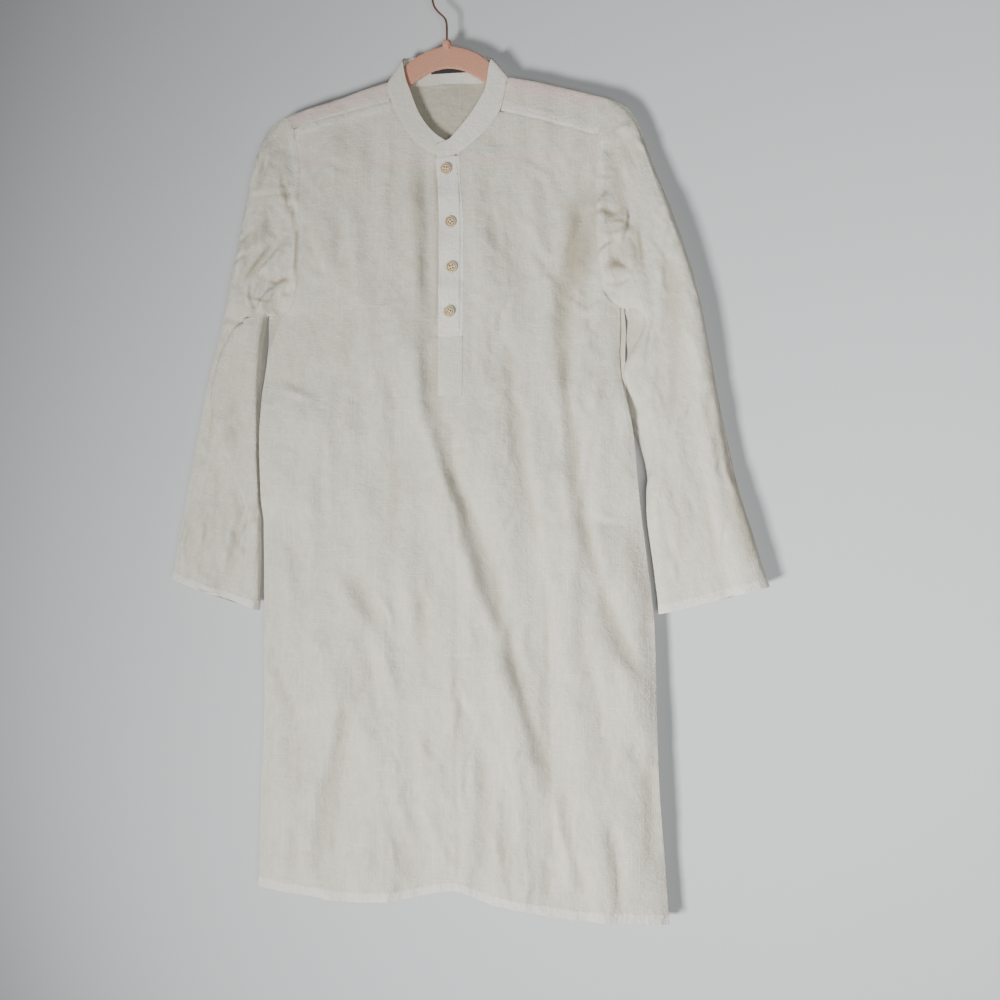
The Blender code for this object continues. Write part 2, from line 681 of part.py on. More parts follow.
def front_grid():
    """The front's inner face, and the columns of its slot: left edge, centre, right edge."""
    left, right = front_top(-1), front_top(1)[::-1]
    tops = np.concatenate([left, [(left[-1] + right[0]) / 2], right])
    grid = body_grid("front", front_fractions(), tops, FRONT_ROWS)
    grid[-1] = tops
    slot = (len(left) - 1, len(left), len(left) + 1)
    for r in range(len(grid) - 1):
        for column, side in ((slot[0], -1), (slot[2], 1)):
            z = grid[r, column, 2]
            hold = float(ease((z + 640) / 80))
            grid[r, column, 0] += (slot_edge(side, z) - grid[r, column, 0]) * hold
        grid[r, slot[1], 0] = (grid[r, slot[0], 0] + grid[r, slot[2], 0]) / 2
        for column in slot:
            grid[r, column] = on_front(grid[r, column, 0], grid[r, column, 2])
    stand_off(grid, "front")
    grid[-1, :YOKE_COLUMNS + 1, 2] -= HALF_GAP
    grid[-1, -YOKE_COLUMNS - 1:, 2] -= HALF_GAP
    points, _, away = neck_ring()
    for k in range(len(NECKLINE[-1]["x"])):
        for column, at in ((slot[0] - k, k), (slot[2] + k, -1 - k)):
            lift = (0, 0, HALF_GAP if k == len(NECKLINE[-1]["x"]) - 1 else 0)
            grid[-1, column] = points[at] - away[at] * HALF_GAP - lift
    return grid, slot


def make_front(grid, slot, finish):
    thick = np.where(np.arange(len(grid)) < 2, HEM_THICK, CLOTH)
    cut = int(np.argmin(np.abs(grid[:, slot[0], 2] - SLOT_END)))

    def keep(r, c):
        return r < cut or c not in slot[:2]

    return cloth("front_body", grid, panel_lean(grid, "front"), finish, thick=thick, keep=keep)


def back_columns():
    """x of the back yoke seam's columns, shared by the yoke and the back."""
    left = shoulder_end(-1)[0][-1][0]
    right = shoulder_end(1)[0][-1][0]
    middle = np.linspace(NECK_POINT[-1], NECK_POINT[1], BACK_NECK_COLUMNS + 1)
    return np.concatenate([np.linspace(left, middle[0], YOKE_COLUMNS + 1)[:-1], middle,
                           np.linspace(middle[-1], right, YOKE_COLUMNS + 1)[1:]])


def back_seam_points():
    """The back yoke seam, from armhole to armhole."""
    points = [(x, depth("back", x, BACK_YOKE_SEAM), BACK_YOKE_SEAM) for x in back_columns()]
    points[0] = tuple(shoulder_end(-1)[0][-1])
    points[-1] = tuple(shoulder_end(1)[0][-1])
    return np.array(points, float)


def make_back(finish):
    tops = back_seam_points()
    xs, centre = tops[:, 0], OUTLINE["centre"][-1]
    fractions = (xs - centre) / np.where(xs > centre, xs[-1] - centre, centre - xs[0])
    grid = body_grid("back", fractions, tops, BACK_PANEL_ROWS)
    grid[-1] = tops
    stand_off(grid, "back")
    grid[-1, :, 2] -= HALF_GAP
    thick = np.where(np.arange(len(grid)) < 2, HEM_THICK, CLOTH)
    return cloth("back_body", grid, panel_lean(grid, "back"), finish, thick=thick)


# ---------------------------------------------------------------- yoke and collar

def neck_ring():
    """The neck seam from the slot's left edge, round the back, to its right edge.

    Gives its points, the cloth's lean there, and the way off the seam into the collar.
    """
    left, left_lean = neck_end(-1)
    right, right_lean = neck_end(1)
    fronts = {side: np.array([on_front(x, z) for x, z in zip(NECKLINE[side]["x"], NECKLINE[side]["z"])])
              for side in (-1, 1)}
    xs = np.linspace(left[-1][0], right[-1][0], BACK_NECK_COLUMNS + 1)[1:-1]
    back = np.array([(x, depth("back", x, BACK_NECK_Z), BACK_NECK_Z) for x in xs])
    points = np.concatenate([fronts[-1][:0:-1], left, back, right[::-1], fronts[1][1:]])
    ahead = np.tile(FRONT, (len(fronts[-1]) - 1, 1))
    lean = unit(np.concatenate([ahead, left_lean, np.tile(BACK, (len(back), 1)), right_lean[::-1], ahead]))
    return points, lean, off_seam(points, lean, NECK_MIDDLE - points)


def make_yoke(finish):
    """The yoke: two fronts over the hanger's arms, and the back between the armholes."""
    over = len(OVER_ARM["y"]) + 1           # rows from the front seam to the back neckline
    rows, columns = over + 2, 2 * YOKE_COLUMNS + BACK_NECK_COLUMNS + 1
    grid, lean = np.zeros((rows, columns, 3)), np.zeros((rows, columns, 3))
    ring, _, off_neck = neck_ring()
    corner = len(NECKLINE[-1]["x"]) - 1     # the yoke's front corner in the neck ring
    seam_back = back_seam_points()
    for side in (-1, 1):
        seam, neck = yoke_seam(side), neck_end(side)[0]
        shoulder, shoulder_lean = shoulder_end(side)
        points, _, away = armhole_ring(side)
        first = len(armhole_line(side, "front")[0]) - 1
        for k in range(YOKE_COLUMNS + 1):
            column = k if side < 0 else columns - 1 - k
            lean[:, column] = shoulder_lean
            grid[0, column] = seam[k]
            for r in range(1, over):
                x, y, _ = shoulder[r] + (neck[r] - shoulder[r]) * k / YOKE_COLUMNS
                grid[r, column] = (x, y, float(read(SHOULDER, "z", x, "x")) - OVER_ARM["drop"][r - 1])
        end = 0 if side < 0 else columns - 1
        grid[:, end] = points[first:first + rows] - away[first:first + rows] * HALF_GAP
        inner = YOKE_COLUMNS if side < 0 else columns - 1 - YOKE_COLUMNS
        for r in range(over):
            at = corner + r if side < 0 else len(ring) - 1 - corner - r
            grid[r, inner] = ring[at] - off_neck[at] * HALF_GAP
    for k in range(1, BACK_NECK_COLUMNS):
        at = corner + over - 1 + k
        grid[over - 1, YOKE_COLUMNS + k] = ring[at] - off_neck[at] * HALF_GAP
    lean[over - 1:] = BACK
    for column in range(1, columns - 1):
        grid[-1, column] = seam_back[column]
        x, _, z = (grid[over - 1, column] + seam_back[column]) / 2
        grid[-2, column] = (x, depth("back", x, z), z)
    grid[0, :, 2] += HALF_GAP
    grid[-1, :, 2] += HALF_GAP

    def keep(r, c):
        return r >= over - 1 or not YOKE_COLUMNS <= c < columns - 1 - YOKE_COLUMNS

    return cloth("yoke", grid, lean, finish, keep=keep)


def collar_line():
    """The collar's seam line: the neck ring and, at the front, its two lapped ends."""
    points, lean, away = neck_ring()
    level = CLOTH + LAY_GAP
    z = PLACKET_TOP + LAY_GAP
    tucked = [on_front(x, z, -level * share) for x, share in ((12, 1), (5, 1), (-3, 0.7))]
    lapped = [on_front(x, z, level * share) for x, share in ((8, 0.7), (0, 1), (-12, 1))]
    ends, end_lean, up = np.array([tucked, lapped]), np.tile(FRONT, (3, 1)), np.tile((0, 0, 1), (3, 1))
    return (np.concatenate([ends[0], points, ends[1]]), unit(np.concatenate([end_lean, lean, end_lean])),
            np.concatenate([up, away, up]))


def make_collar(finish):
    """The band collar: rows rise from the seam line and lean as the COLLAR table says."""
    line, lean, away = collar_line()
    along = np.concatenate([[0], np.cumsum(np.linalg.norm(np.diff(line, axis=0), axis=1))])
    along /= along[-1]
    start = line + away * HALF_GAP
    climb = np.stack([read(COLLAR, "lean", along, "along"), -read(COLLAR, "forward", along, "along"),
                      read(COLLAR, "rise", along, "along")], axis=1)
    shares = np.linspace(0, 1, COLLAR_ROWS + 1)
    grid = start + climb * shares[:, None, None]
    normals = surface_normals(grid)
    normals *= np.sign(normals[:, len(line) // 2, 1].mean())
    blend = shares[:, None, None] ** 0.5
    return cloth("collar_band", grid, unit(lean * (1 - blend) + normals * blend), finish)


# ---------------------------------------------------------------- sleeves

def section_path(w, front, back, low, foot, top):
    """A sleeve's section as two runs of (along, forward) points from its inner end.

    'along' goes from the outer fold, 0, to the inner edge, w. The first run goes from the tip
    of the turned part, or the inner edge, over the front layer to the outer fold. The second
    goes from there round the inner edge and behind. Their first KEYS points are the turns of
    the folded part.
    """
    middle = (front - back) / 2
    outer, inner, last = (0.0, middle), (w, middle), (w * 0.03, -back * 0.6)
    behind = [(w * 0.86, -back), (w * 0.5, -back), (w * 0.15, -back), last, outer]
    ahead = [(w * 0.5, low), (w * 0.15, low * 0.95 + front * 0.05), (w * 0.03, low * 0.6), outer]
    if foot == 0:
        near, far = (np.linspace(top, end, KEYS + 1 - (end == 0)) for end in (w * 0.3, 0))
        rise = ((0, 2, 5), (middle, front * 0.6, front))
        tip, *turn = [(w - t, float(np.interp(t, *rise))) for t in near]
        over = [(w - t, float(np.interp(t, *rise))) for t in far[1:]] + [(w - 2, -back * 0.6)]
        return [tip, *turn, *ahead[1:]], [tip, *over, *behind]
    under = low + FOLD_LAYER
    lapped = np.array([(w - top, (under + front) / 2), (w - top + 1.5, under), (w - (top + foot) / 2, under),
                       (w - foot - 2.2, under), (w - foot, (low + under) / 2), (w - foot - 2.2, low)])
    share = np.linspace(0, 1, KEYS + 1)[:, None]
    step = np.array((w - top, front)) * (1 - share) + np.array((w - foot - 3, low)) * share
    lap = float(ease((top - foot + 5) / 13))
    tip, *turn = (step * (1 - lap) + lapped * lap).tolist()
    edge = w - min(4.0, top * 0.4)
    over = [(tip[0] + min(1.5, top * 0.2), front), (edge, front), (w - 1.0, front * 0.75), inner,
            (w - 2, -back * 0.6)]
    return [tip, *turn, *ahead], [tip, *over, *behind]


def spread(path, shares, turned):
    """Points along a path at the given shares; with 'turned' near 1, its first KEYS points are kept."""
    path = np.array(path, float)
    along = np.concatenate([[0], np.cumsum(np.linalg.norm(np.diff(path, axis=0), axis=1))])
    kept = np.concatenate([along[:KEYS], np.linspace(along[KEYS], along[-1], len(shares) - KEYS)])
    at = shares * along[-1] * (1 - turned) + kept * turned
    return np.stack([np.interp(at, along, path[:, i]) for i in (0, 1)], axis=1)


def sleeve_section(row, shares):
    """One section of a sleeve as a ring; shares place its points along its two runs."""
    outer = np.array((row["out_x"], 0, row["out_z"]))
    inner = np.array((row["in_x"], 0, row["in_z"]))
    width = float(np.linalg.norm(inner - outer))
    step = (inner - outer) / width
    runs = section_path(width, row["front"], row["back"], row["low"], row["foot"], row["top"])
    turned = float(ease(row["top"] / 20))
    ahead, behind = (spread(run, share, turned) for run, share in zip(runs, shares))
    return np.array([outer + step * s + (0, -y, 0) for s, y in np.concatenate([ahead, behind[-2:0:-1]])])


def make_sleeve(name, side, finish):
    ring, ring_lean, away = armhole_ring(side)
    top = len(armhole_line(side, "front")[0]) + list(OVER_ARM["y"]).index(0)
    halves = (ring[:top + 1], np.concatenate([ring[:1], ring[:top - 1:-1]]))
    spacing = [np.cumsum(np.linalg.norm(np.diff(half, axis=0, prepend=half[:1]), axis=1)) for half in halves]
    sections = SLEEVE[side]
    rows = [{key: column[k] for key, column in sections.items()} for k in range(len(sections["out_x"]))]
    before, last = rows[-2:]
    share = 1 - CUFF_DEPTH / math.dist((before["in_x"], before["in_z"]), (last["in_x"], last["in_z"]))
    for nudge in (0, 0.04):
        rows.insert(-1, {key: before[key] + (last[key] - before[key]) * (share + nudge) for key in before})
    grid = [ring + away * HALF_GAP]
    for k, row in enumerate(rows):
        even = float(ease((k + 1) / EVEN_AFTER))
        shares = [run / run[-1] * (1 - even) + np.linspace(0, even, len(run)) for run in spacing]
        grid.append(sleeve_section(row, shares))
    grid = np.array(grid)
    normals = -surface_normals(grid, ring=True) * side
    normals[0] = ring_lean
    thick = np.full(len(grid), CLOTH)
    thick[-2:] = HEM_THICK
    return cloth(name, grid, normals, finish, thick=thick, ring=True)


# ---------------------------------------------------------------- placket, pockets, label

def on_grid(grid, x, z):
    """y of a panel's inner face at x, z, on the very triangles that 'cloth' makes of its grid."""
    rows, columns = grid.shape[:2]
    for r in range(rows - 1):
        if not grid[r, :, 2].min() - 1 < z < grid[r + 1, :, 2].max() + 1:
            continue
        for c in range(columns - 1):
            for corners in split(grid, r, c):
                p, q, s = (grid[corner] for corner in corners)
                across = (q[0] - p[0]) * (s[2] - p[2]) - (s[0] - p[0]) * (q[2] - p[2])
                u = ((x - p[0]) * (s[2] - p[2]) - (s[0] - p[0]) * (z - p[2])) / across
                v = ((q[0] - p[0]) * (z - p[2]) - (x - p[0]) * (q[2] - p[2])) / across
                if min(u, v, 1 - u - v) > -1e-6:
                    return float(p[1] + (q[1] - p[1]) * u + (s[1] - p[1]) * v)
    return -depth("front", x, z)


def rows_between(grid, column, bottom, top):
    """The rows of a grid from one height to another, with its whole rows kept."""
    count = np.arange(len(grid))
    heights = grid[:, column, 2]
    first, last = np.interp([bottom, top], heights, count)
    whole = [float(r) for r in count if first + 0.15 < r < last - 0.15]
    return [float(first), *whole, float(last)]


def bulge(z):
    """0 round each button and 1 half way between two."""
    for upper, lower in zip(BUTTONS["z"], BUTTONS["z"][1:]):
        if lower < z < upper:
            reach = (upper - lower) / 2 - BUTTON_HOLD
            return float(ease(1 - abs(z - (upper + lower) / 2) / reach))
    return 0.0


def strip(name, grid, slot, laps, bottom, top, out, billow, finish):
    """A strip along the placket's slot: the front's own points moved out, with a lap each side."""
    count = np.arange(len(grid))
    rows = rows_between(grid, slot[1], bottom, top)
    if billow:
        held = [z + step for z in BUTTONS["z"] for step in (-BUTTON_HOLD, BUTTON_HOLD)]
        loose = [(a + b) / 2 for a, b in zip(BUTTONS["z"], BUTTONS["z"][1:])]
        extra = np.interp([z for z in held + loose if z > bottom + 2], grid[:, slot[1], 2], count)
        rows = sorted([r for r in rows if min(abs(extra - r)) > 0.12] + list(extra))
    points = []
    for r in rows:
        low = min(int(r), len(grid) - 2)
        xs = [grid[low, c, 0] + (grid[low + 1, c, 0] - grid[low, c, 0]) * (r - low) for c in slot]
        xs = [xs[0] - laps[0], *xs, xs[-1] + laps[1]]
        z = float(np.interp(r, count, grid[:, slot[1], 2]))
        lifts = [out + billow * bulge(z) * (1 - k / 4) ** 0.7 for k in range(5)]
        points.append([(x, on_grid(grid, x, z) - lift, z) for x, lift in zip(xs, lifts)])
    points = np.array(points)
    return cloth(name, points, np.tile(np.array(FRONT, float), points.shape[:2] + (1,)), finish)


def make_placket(grid, slot, finish):
    level = CLOTH + LAY_GAP
    laps = (PLACKET_LAP, PLACKET_LAP)
    strip("placket_strip", grid, slot, laps, STRIP_END, PLACKET_TOP, level, BILLOW, finish)
    strip("placket_base", grid, slot, laps, BASE_END, STRIP_END - 2 * HALF_GAP, level, 0.0, finish)
    strip("under_placket", grid, slot, (7.0, 3.0), STRIP_END, PLACKET_TOP, -level, 0.0, finish)


def make_pocket(name, side, grid, finish):
    """A pocket bag as one folded wall inside the front: open at the side seam, closed below.

    Its layers take the front's own points, moved in. Above and below the mouth the bag
    starts where the front stands far enough from the back to hold it.
    """
    size = POCKET[side]
    count = POCKET_COLUMNS[side]
    columns = list(range(count + 1)) if side < 0 else [len(grid[0]) - 1 - k for k in range(count + 1)]
    rows = rows_between(grid, columns[1], size["bottom"], size["top_out"])
    layers = []
    for r in rows:
        ends = r in (rows[0], rows[-1])
        front = []
        for k, column in enumerate(columns):
            at = r - (size["slant"] * k / count if r == rows[-1] else 0)
            low = int(at)
            point = grid[low, column] + (grid[low + 1, column] - grid[low, column]) * (at - low)
            front.append(point)
        edge, after = front[0], front[1]
        inset = max(2.0 / abs(after[0] - edge[0]), (MOUTH_SEAT + edge[1]) / (edge[1] - after[1]))
        front[0] = edge + (after - edge) * inset
        near = np.array(front) + (0, CLOTH + LAY_GAP + (SLANT_GAP if r == rows[-1] else 0), 0)
        far = near.copy()
        room = SEWN_GAP if ends else BAG_HOLLOW
        far[:, 1] = np.minimum(near[:, 1] + room, -CLOTH - 2 * LAY_GAP)
        far[-1, 1] = near[-1, 1] + min(room, BAG_HOLLOW * 0.5)
        layers.append(np.concatenate([near, far[::-1]]))
    points = np.array(layers)
    lean = np.tile(np.array(FRONT, float), points.shape[:2] + (1,))
    lean[:, count + 1:] = BACK
    lean[:, count] = unit((-side, -1, 0))
    lean[:, count + 1] = unit((-side, 1, 0))
    return cloth(name, points, lean, finish)


def make_label(finish):
    """A plain woven label on the inside of the collar, behind the hanger's arch."""
    points = []
    for z in (LABEL["bottom"], LABEL["top"]):
        points.append([(x, depth("back", x, BACK_NECK_Z) - LAY_GAP - LABEL["thick"], z)
                       for x in np.linspace(LABEL["left"], LABEL["right"], 5)])
    points = np.array(points)
    return cloth("neck_label", points, np.tile(np.array(BACK, float), points.shape[:2] + (1,)), finish,
                 thick=LABEL["thick"])


# ---------------------------------------------------------------- buttons, hanger, hook

def turned(name, profile, segments, finish):
    """A closed solid turned about Z from (radius, height) points that start and end on the axis."""
    mesh_maker = bmesh.new()
    rings = []
    for radius, height in profile:
        if radius == 0:
            rings.append([mesh_maker.verts.new((0, 0, height * MM))])
            continue
        turn = [2 * math.pi * k / segments for k in range(segments)]
        places = [(radius * MM * math.cos(a), radius * MM * math.sin(a), height * MM) for a in turn]
        rings.append([mesh_maker.verts.new(place) for place in places])
    for one, two in zip(rings, rings[1:]):
        for k in range(segments):
            n = (k + 1) % segments
            corners = [one[k % len(one)], one[n % len(one)], two[n % len(two)], two[k % len(two)]]
            corners = list(dict.fromkeys(corners))
            if len(corners) > 2:
                mesh_maker.faces.new(corners)
    bmesh.ops.recalc_face_normals(mesh_maker, faces=mesh_maker.faces)
    mesh = bpy.data.meshes.new(name)
    mesh_maker.to_mesh(mesh)
    mesh_maker.free()
    return make_object(name, mesh, finish)


def cut_away(obj, cutter, operation="DIFFERENCE"):
    cutter.hide_render = True
    cutter.display_type = "WIRE"
    boolean = obj.modifiers.new(operation.title(), "BOOLEAN")
    boolean.operation = operation
    boolean.object = cutter


def make_buttons(finish):
    """Four flat buttons with a raised rim and four holes, on the placket strip."""
    r, t = BUTTON["radius"], BUTTON["thick"]
    inner = r - BUTTON["rim"]
    profile = ((0, 0), (r * 0.72, 0), (r, t * 0.4), (r, t * 0.75), (r - 0.5, t), (inner, t - 0.1),
               (inner - 0.7, t - BUTTON["dish"]), (0, t - BUTTON["dish"]))
    for k, (x, z) in enumerate(zip(BUTTONS["x"], BUTTONS["z"]), 1):
        button = turned(f"button_{k}", profile, 16, finish)
        corners = [(a, b) for a in (-1, 1) for b in (-1, 1)]
        seat = max(depth("front", x + dx, z + dz) for dx in (-r, 0, r) for dz in (-r, 0, r))
        button.rotation_euler = (math.radians(90), 0, 0)
        button.location = (x * MM, -(seat + 2 * (CLOTH + LAY_GAP)) * MM, z * MM)
        for number, (a, b) in enumerate(corners, 1):
            drill = turned(f"button_{k}_drill_{number}", ((0, -1), (BUTTON["hole"], -1),
                                                          (BUTTON["hole"], t + 1), (0, t + 1)), 6, finish)
            drill.parent = button
            drill.location = (a * BUTTON["spread"] * MM, b * BUTTON["spread"] * MM, 0)
            cut_away(button, drill)


def hanger_lines():
    """The hanger's outer and inner points, once round from the middle of the arch."""
    parts = [list(zip(*(rows[name] for name in ("x", "z", "in_x", "in_z")))) for rows in (ARCH, TIP_AND_BAR)]
    sides = {}
    for side in (-1, 1):
        arm = []
        for x, tall in zip(ARM["x"], ARM["tall"]):
            top, after = (float(read(SHOULDER, "z", side * (x + step), "x")) - ARM_SEAT for step in (0, 8))
            away = unit((after - top, -8))
            arm.append((x, top, x + away[0] * tall, top + away[1] * tall))
        half = parts[0][1:] + arm + parts[1]
        sides[side] = [(side * x, z, side * in_x, in_z) for x, z, in_x, in_z in half]
    return np.array([parts[0][0], *sides[1], *sides[-1][-2::-1]], float)


def make_hanger(finish):
    """The hanger's arms and trouser bar as one closed frame, with a nub for the hook."""
    half = HANGER_THICK / 2
    rows = []
    for x, z, in_x, in_z in hanger_lines():
        h = math.dist((x, z), (in_x, in_z)) / 2
        nx, nz = (x - in_x) / 2 / h, (z - in_z) / 2 / h
        mx, mz = (x + in_x) / 2, (z + in_z) / 2
        soft = min(2.2, h * 0.4)
        section = ((h, 0.4 * half), (h - 0.4 * soft, 0.85 * half), (h - soft, half), (-h + soft, half),
                   (-h + 0.4 * soft, 0.85 * half), (-h, 0.4 * half))
        section += tuple((a, -b) for a, b in reversed(section))
        rows.append([(mx + nx * a, b, mz + nz * a) for a, b in section])
    grid = np.array(rows)
    mesh_maker = bmesh.new()
    rings = [[mesh_maker.verts.new(tuple(float(v) * MM for v in point)) for point in row] for row in grid]
    for k, ring in enumerate(rings):
        after = rings[(k + 1) % len(rings)]
        for j in range(len(ring)):
            n = (j + 1) % len(ring)
            mesh_maker.faces.new([ring[j], ring[n], after[n], after[j]])
    bmesh.ops.recalc_face_normals(mesh_maker, faces=mesh_maker.faces)
    mesh = bpy.data.meshes.new("hanger")
    mesh_maker.to_mesh(mesh)
    mesh_maker.free()
    hanger = make_object("hanger", mesh, finish)
    r, low, high = NUB["radius"], NUB["bottom"], NUB["top"]
    nub = turned("nub", ((0, low), (r * 0.4, low), (r, high - 6), (r * 0.97, high - 2),
                         (r * 0.75, high), (0, high)), 14, finish)
    cut_away(hanger, nub, "UNION")
    bottom = STEM[0][1] - 0.5
    socket = turned("socket", ((0, bottom), (SOCKET, bottom), (SOCKET, -70), (0, -70)), 12, finish)
    cut_away(hanger, socket)
    return hanger


def make_hook(finish):
    """The wire hook: a stem, an S-bend to the side, and an open round hook."""
    turn = np.linspace(HOOK_START, HOOK_END, 22)
    arc = [(HOOK_RADIUS * math.cos(a), HOOK_CENTRE_Z + HOOK_RADIUS * math.sin(a)) for a in turn]
    points = list(STEM) + arc
    wire = bpy.data.curves.new("hook", "CURVE")
    wire.dimensions = "3D"
    wire.bevel_depth = WIRE * MM
    wire.bevel_resolution = 2
    wire.use_fill_caps = True
    spline = wire.splines.new("POLY")
    spline.points.add(len(points) - 1)
    for place, (x, z) in zip(spline.points, points):
        place.co = (x * MM, 0, z * MM, 1)
    obj = bpy.data.objects.new("hook", wire)
    bpy.context.scene.collection.objects.link(obj)
    wire.materials.append(finish)
    return obj


def main():
    for obj in list(bpy.data.objects):
        bpy.data.objects.remove(obj)
    linen = material("ivory cotton linen", (0.78, 0.76, 0.69), 0.9)
    tape = material("black woven tape", (0.02, 0.02, 0.02), 0.85)
    horn = material("pale horn", (0.72, 0.6, 0.42), 0.35)
    velvet = material("blush velvet flock", (0.72, 0.36, 0.3), 0.95)
    copper = material("rose gold wire", (0.72, 0.42, 0.32), 0.28, 1.0)
    grid, slot = front_grid()
    make_front(grid, slot, linen)
    make_back(linen)
    make_yoke(linen)
    make_collar(linen)
    make_sleeve("right_sleeve", -1, linen)
    make_sleeve("left_sleeve", 1, linen)
    make_placket(grid, slot, linen)
    make_pocket("right_pocket_bag", -1, grid, linen)
    make_pocket("left_pocket_bag", 1, grid, linen)
    make_label(tape)
    make_buttons(horn)
    make_hanger(velvet)
    make_hook(copper)


main()
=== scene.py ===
# %% [markdown]
# # A linen kurta tunic on a hanger
# The tunic is cut from a few flat pieces of linen, sewn together and hung on a slim hanger.
# This lesson dresses its plain solids, a piece at a time, as a maker would look at them: cloth
# first, then seams and stitches, then buttons, label, hanger, light and camera.
# Every length in a table is in millimetres, and every point has x to the viewer's right, y away
# from the viewer and z up, measured from the inside of the hook's top.

# %% Load the frame
import math

import bmesh
import bpy
import numpy as np
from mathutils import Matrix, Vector
from mathutils.bvhtree import BVHTree


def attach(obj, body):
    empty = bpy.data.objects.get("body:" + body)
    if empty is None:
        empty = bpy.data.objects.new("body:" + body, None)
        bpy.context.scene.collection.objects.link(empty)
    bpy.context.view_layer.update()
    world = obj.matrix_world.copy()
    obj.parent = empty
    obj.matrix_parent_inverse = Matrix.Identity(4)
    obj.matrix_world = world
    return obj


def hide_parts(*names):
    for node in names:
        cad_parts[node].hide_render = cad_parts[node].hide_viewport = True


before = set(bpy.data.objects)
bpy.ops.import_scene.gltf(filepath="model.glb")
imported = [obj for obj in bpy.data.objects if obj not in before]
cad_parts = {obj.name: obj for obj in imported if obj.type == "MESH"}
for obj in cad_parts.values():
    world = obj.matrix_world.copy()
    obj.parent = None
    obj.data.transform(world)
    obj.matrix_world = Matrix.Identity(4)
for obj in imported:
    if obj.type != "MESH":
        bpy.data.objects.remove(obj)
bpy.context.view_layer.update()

MM = 0.001
print("nodes:", len(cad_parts))

# %% [markdown]
# ## The camera
# The tunic is seen from a step and a half away, a little from its left, with the camera level and
# half way down the cloth. A wall-hung garment shows its outline best without any tilt.

# %% Camera
CAMERA_PLACE = (0.31434, -1.54079, -0.689)
CAMERA_TURN = math.radians(9)
LENS, SENSOR = 43.2, 36.0

bpy.ops.object.camera_add(location=CAMERA_PLACE, rotation=(math.radians(90), 0, CAMERA_TURN))
camera = bpy.context.object
camera.data.lens = LENS
camera.data.sensor_width = SENSOR
bpy.context.scene.camera = camera
print("camera", camera.location[:])

# %% [markdown]
# ## Selecting by code
# Blender's operators act on all that is selected, so each step first lets go of everything and
# then takes just the pieces that it works on.

# %% Selection helpers
def only(*objects):
    """Selects these objects and nothing else."""
    if bpy.context.object and bpy.context.object.mode != "OBJECT":
        bpy.ops.object.mode_set(mode="OBJECT")
    bpy.ops.object.select_all(action="DESELECT")
    for each in objects:
        each.select_set(True)
    bpy.context.view_layer.objects.active = objects[0]


def apply_all(piece):
    """Applies the modifiers of a piece from the top down."""
    only(piece)
    for modifier in list(piece.modifiers):
        bpy.ops.object.modifier_apply(modifier=modifier.name)


def coordinates(mesh):
    """The mesh's points as rows of x, y, z in millimetres."""
    flat = np.empty(3 * len(mesh.vertices))
    mesh.vertices.foreach_get("co", flat)
    return flat.reshape(-1, 3) / MM


def set_coordinates(mesh, points):
    """Moves the mesh's points to these rows, in millimetres."""
    mesh.vertices.foreach_set("co", (points * MM).ravel())
    mesh.update()


# %% [markdown]
# ## Cloth from its solid
# Each solid is already a thin wall with the shape of its cut piece. A copy of it is merged and its
# triangles are joined into four-sided faces. Its rims are creased so that the seams stay where
# they are, long faces are cut across, and a subdivision surface rounds it all into soft cloth.

# %% Fine copies
RIM_ANGLE = math.radians(48)
RIM_WIDTH = 2.3                 # faces narrower than this are a wall's rim
SEAM_CLOSING = 0.22             # rims move out by this, so that neighbours meet
LONGEST_FACE = 26.0             # faces longer than this are cut across first
CUT_ROUNDS = 4
MERGE = 0.01                    # points nearer than this become one
FLAT_ENOUGH = math.radians(50)  # two triangles that meet flatter than this become one face
SMOOTH_BELOW = math.radians(42)


def long_edges(mesh):
    """Edges that run mostly down the cloth and are too long."""
    found = []
    for edge in mesh.edges:
        run = edge.verts[1].co - edge.verts[0].co
        if run.length > LONGEST_FACE * MM and abs(run.z) > 0.8 * run.length:
            found.append(edge)
    return found


def close_seams(net):
    """Moves the rims of a wall out a little, so that no light shows through a seam."""
    rims = [face for face in net.faces
            if face.calc_area() < RIM_WIDTH * MM * max(edge.calc_length() for edge in face.edges)]
    moves = {}
    for face in rims:
        for corner in face.verts:
            moves.setdefault(corner, []).append(face.normal.copy())
    for corner, normals in moves.items():
        out = sum(normals, Vector())
        if out.length > 0.5:
            corner.co += out.normalized() * SEAM_CLOSING * MM


def fine_copy(node, name, levels=2, even=True):
    """A merged, evened and subdivided copy of a node's solid."""
    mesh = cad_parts[node].data.copy()
    mesh.name = name
    mesh.materials.clear()
    piece = bpy.data.objects.new(name, mesh)
    bpy.context.collection.objects.link(piece)
    only(piece)
    bpy.ops.object.mode_set(mode="EDIT")
    bpy.ops.mesh.select_all(action="SELECT")
    bpy.ops.mesh.remove_doubles(threshold=MERGE * MM)
    bpy.ops.mesh.tris_convert_to_quads(face_threshold=FLAT_ENOUGH, shape_threshold=math.pi)
    bpy.ops.object.mode_set(mode="OBJECT")
    net = bmesh.new()
    net.from_mesh(mesh)
    if even:
        close_seams(net)
    for _ in range(CUT_ROUNDS):
        edges = long_edges(net) if even else []
        if edges:
            bmesh.ops.subdivide_edges(net, edges=edges, cuts=1)
    creases = net.edges.layers.float.get("crease_edge") or net.edges.layers.float.new("crease_edge")
    for edge in net.edges:
        if len(edge.link_faces) == 2 and edge.calc_face_angle() > RIM_ANGLE:
            edge[creases] = 1.0
    net.to_mesh(mesh)
    net.free()
    soften = piece.modifiers.new("soft", "SUBSURF")
    soften.levels = soften.render_levels = levels
    apply_all(piece)
    bpy.ops.object.shade_smooth_by_angle(angle=SMOOTH_BELOW)
    return piece


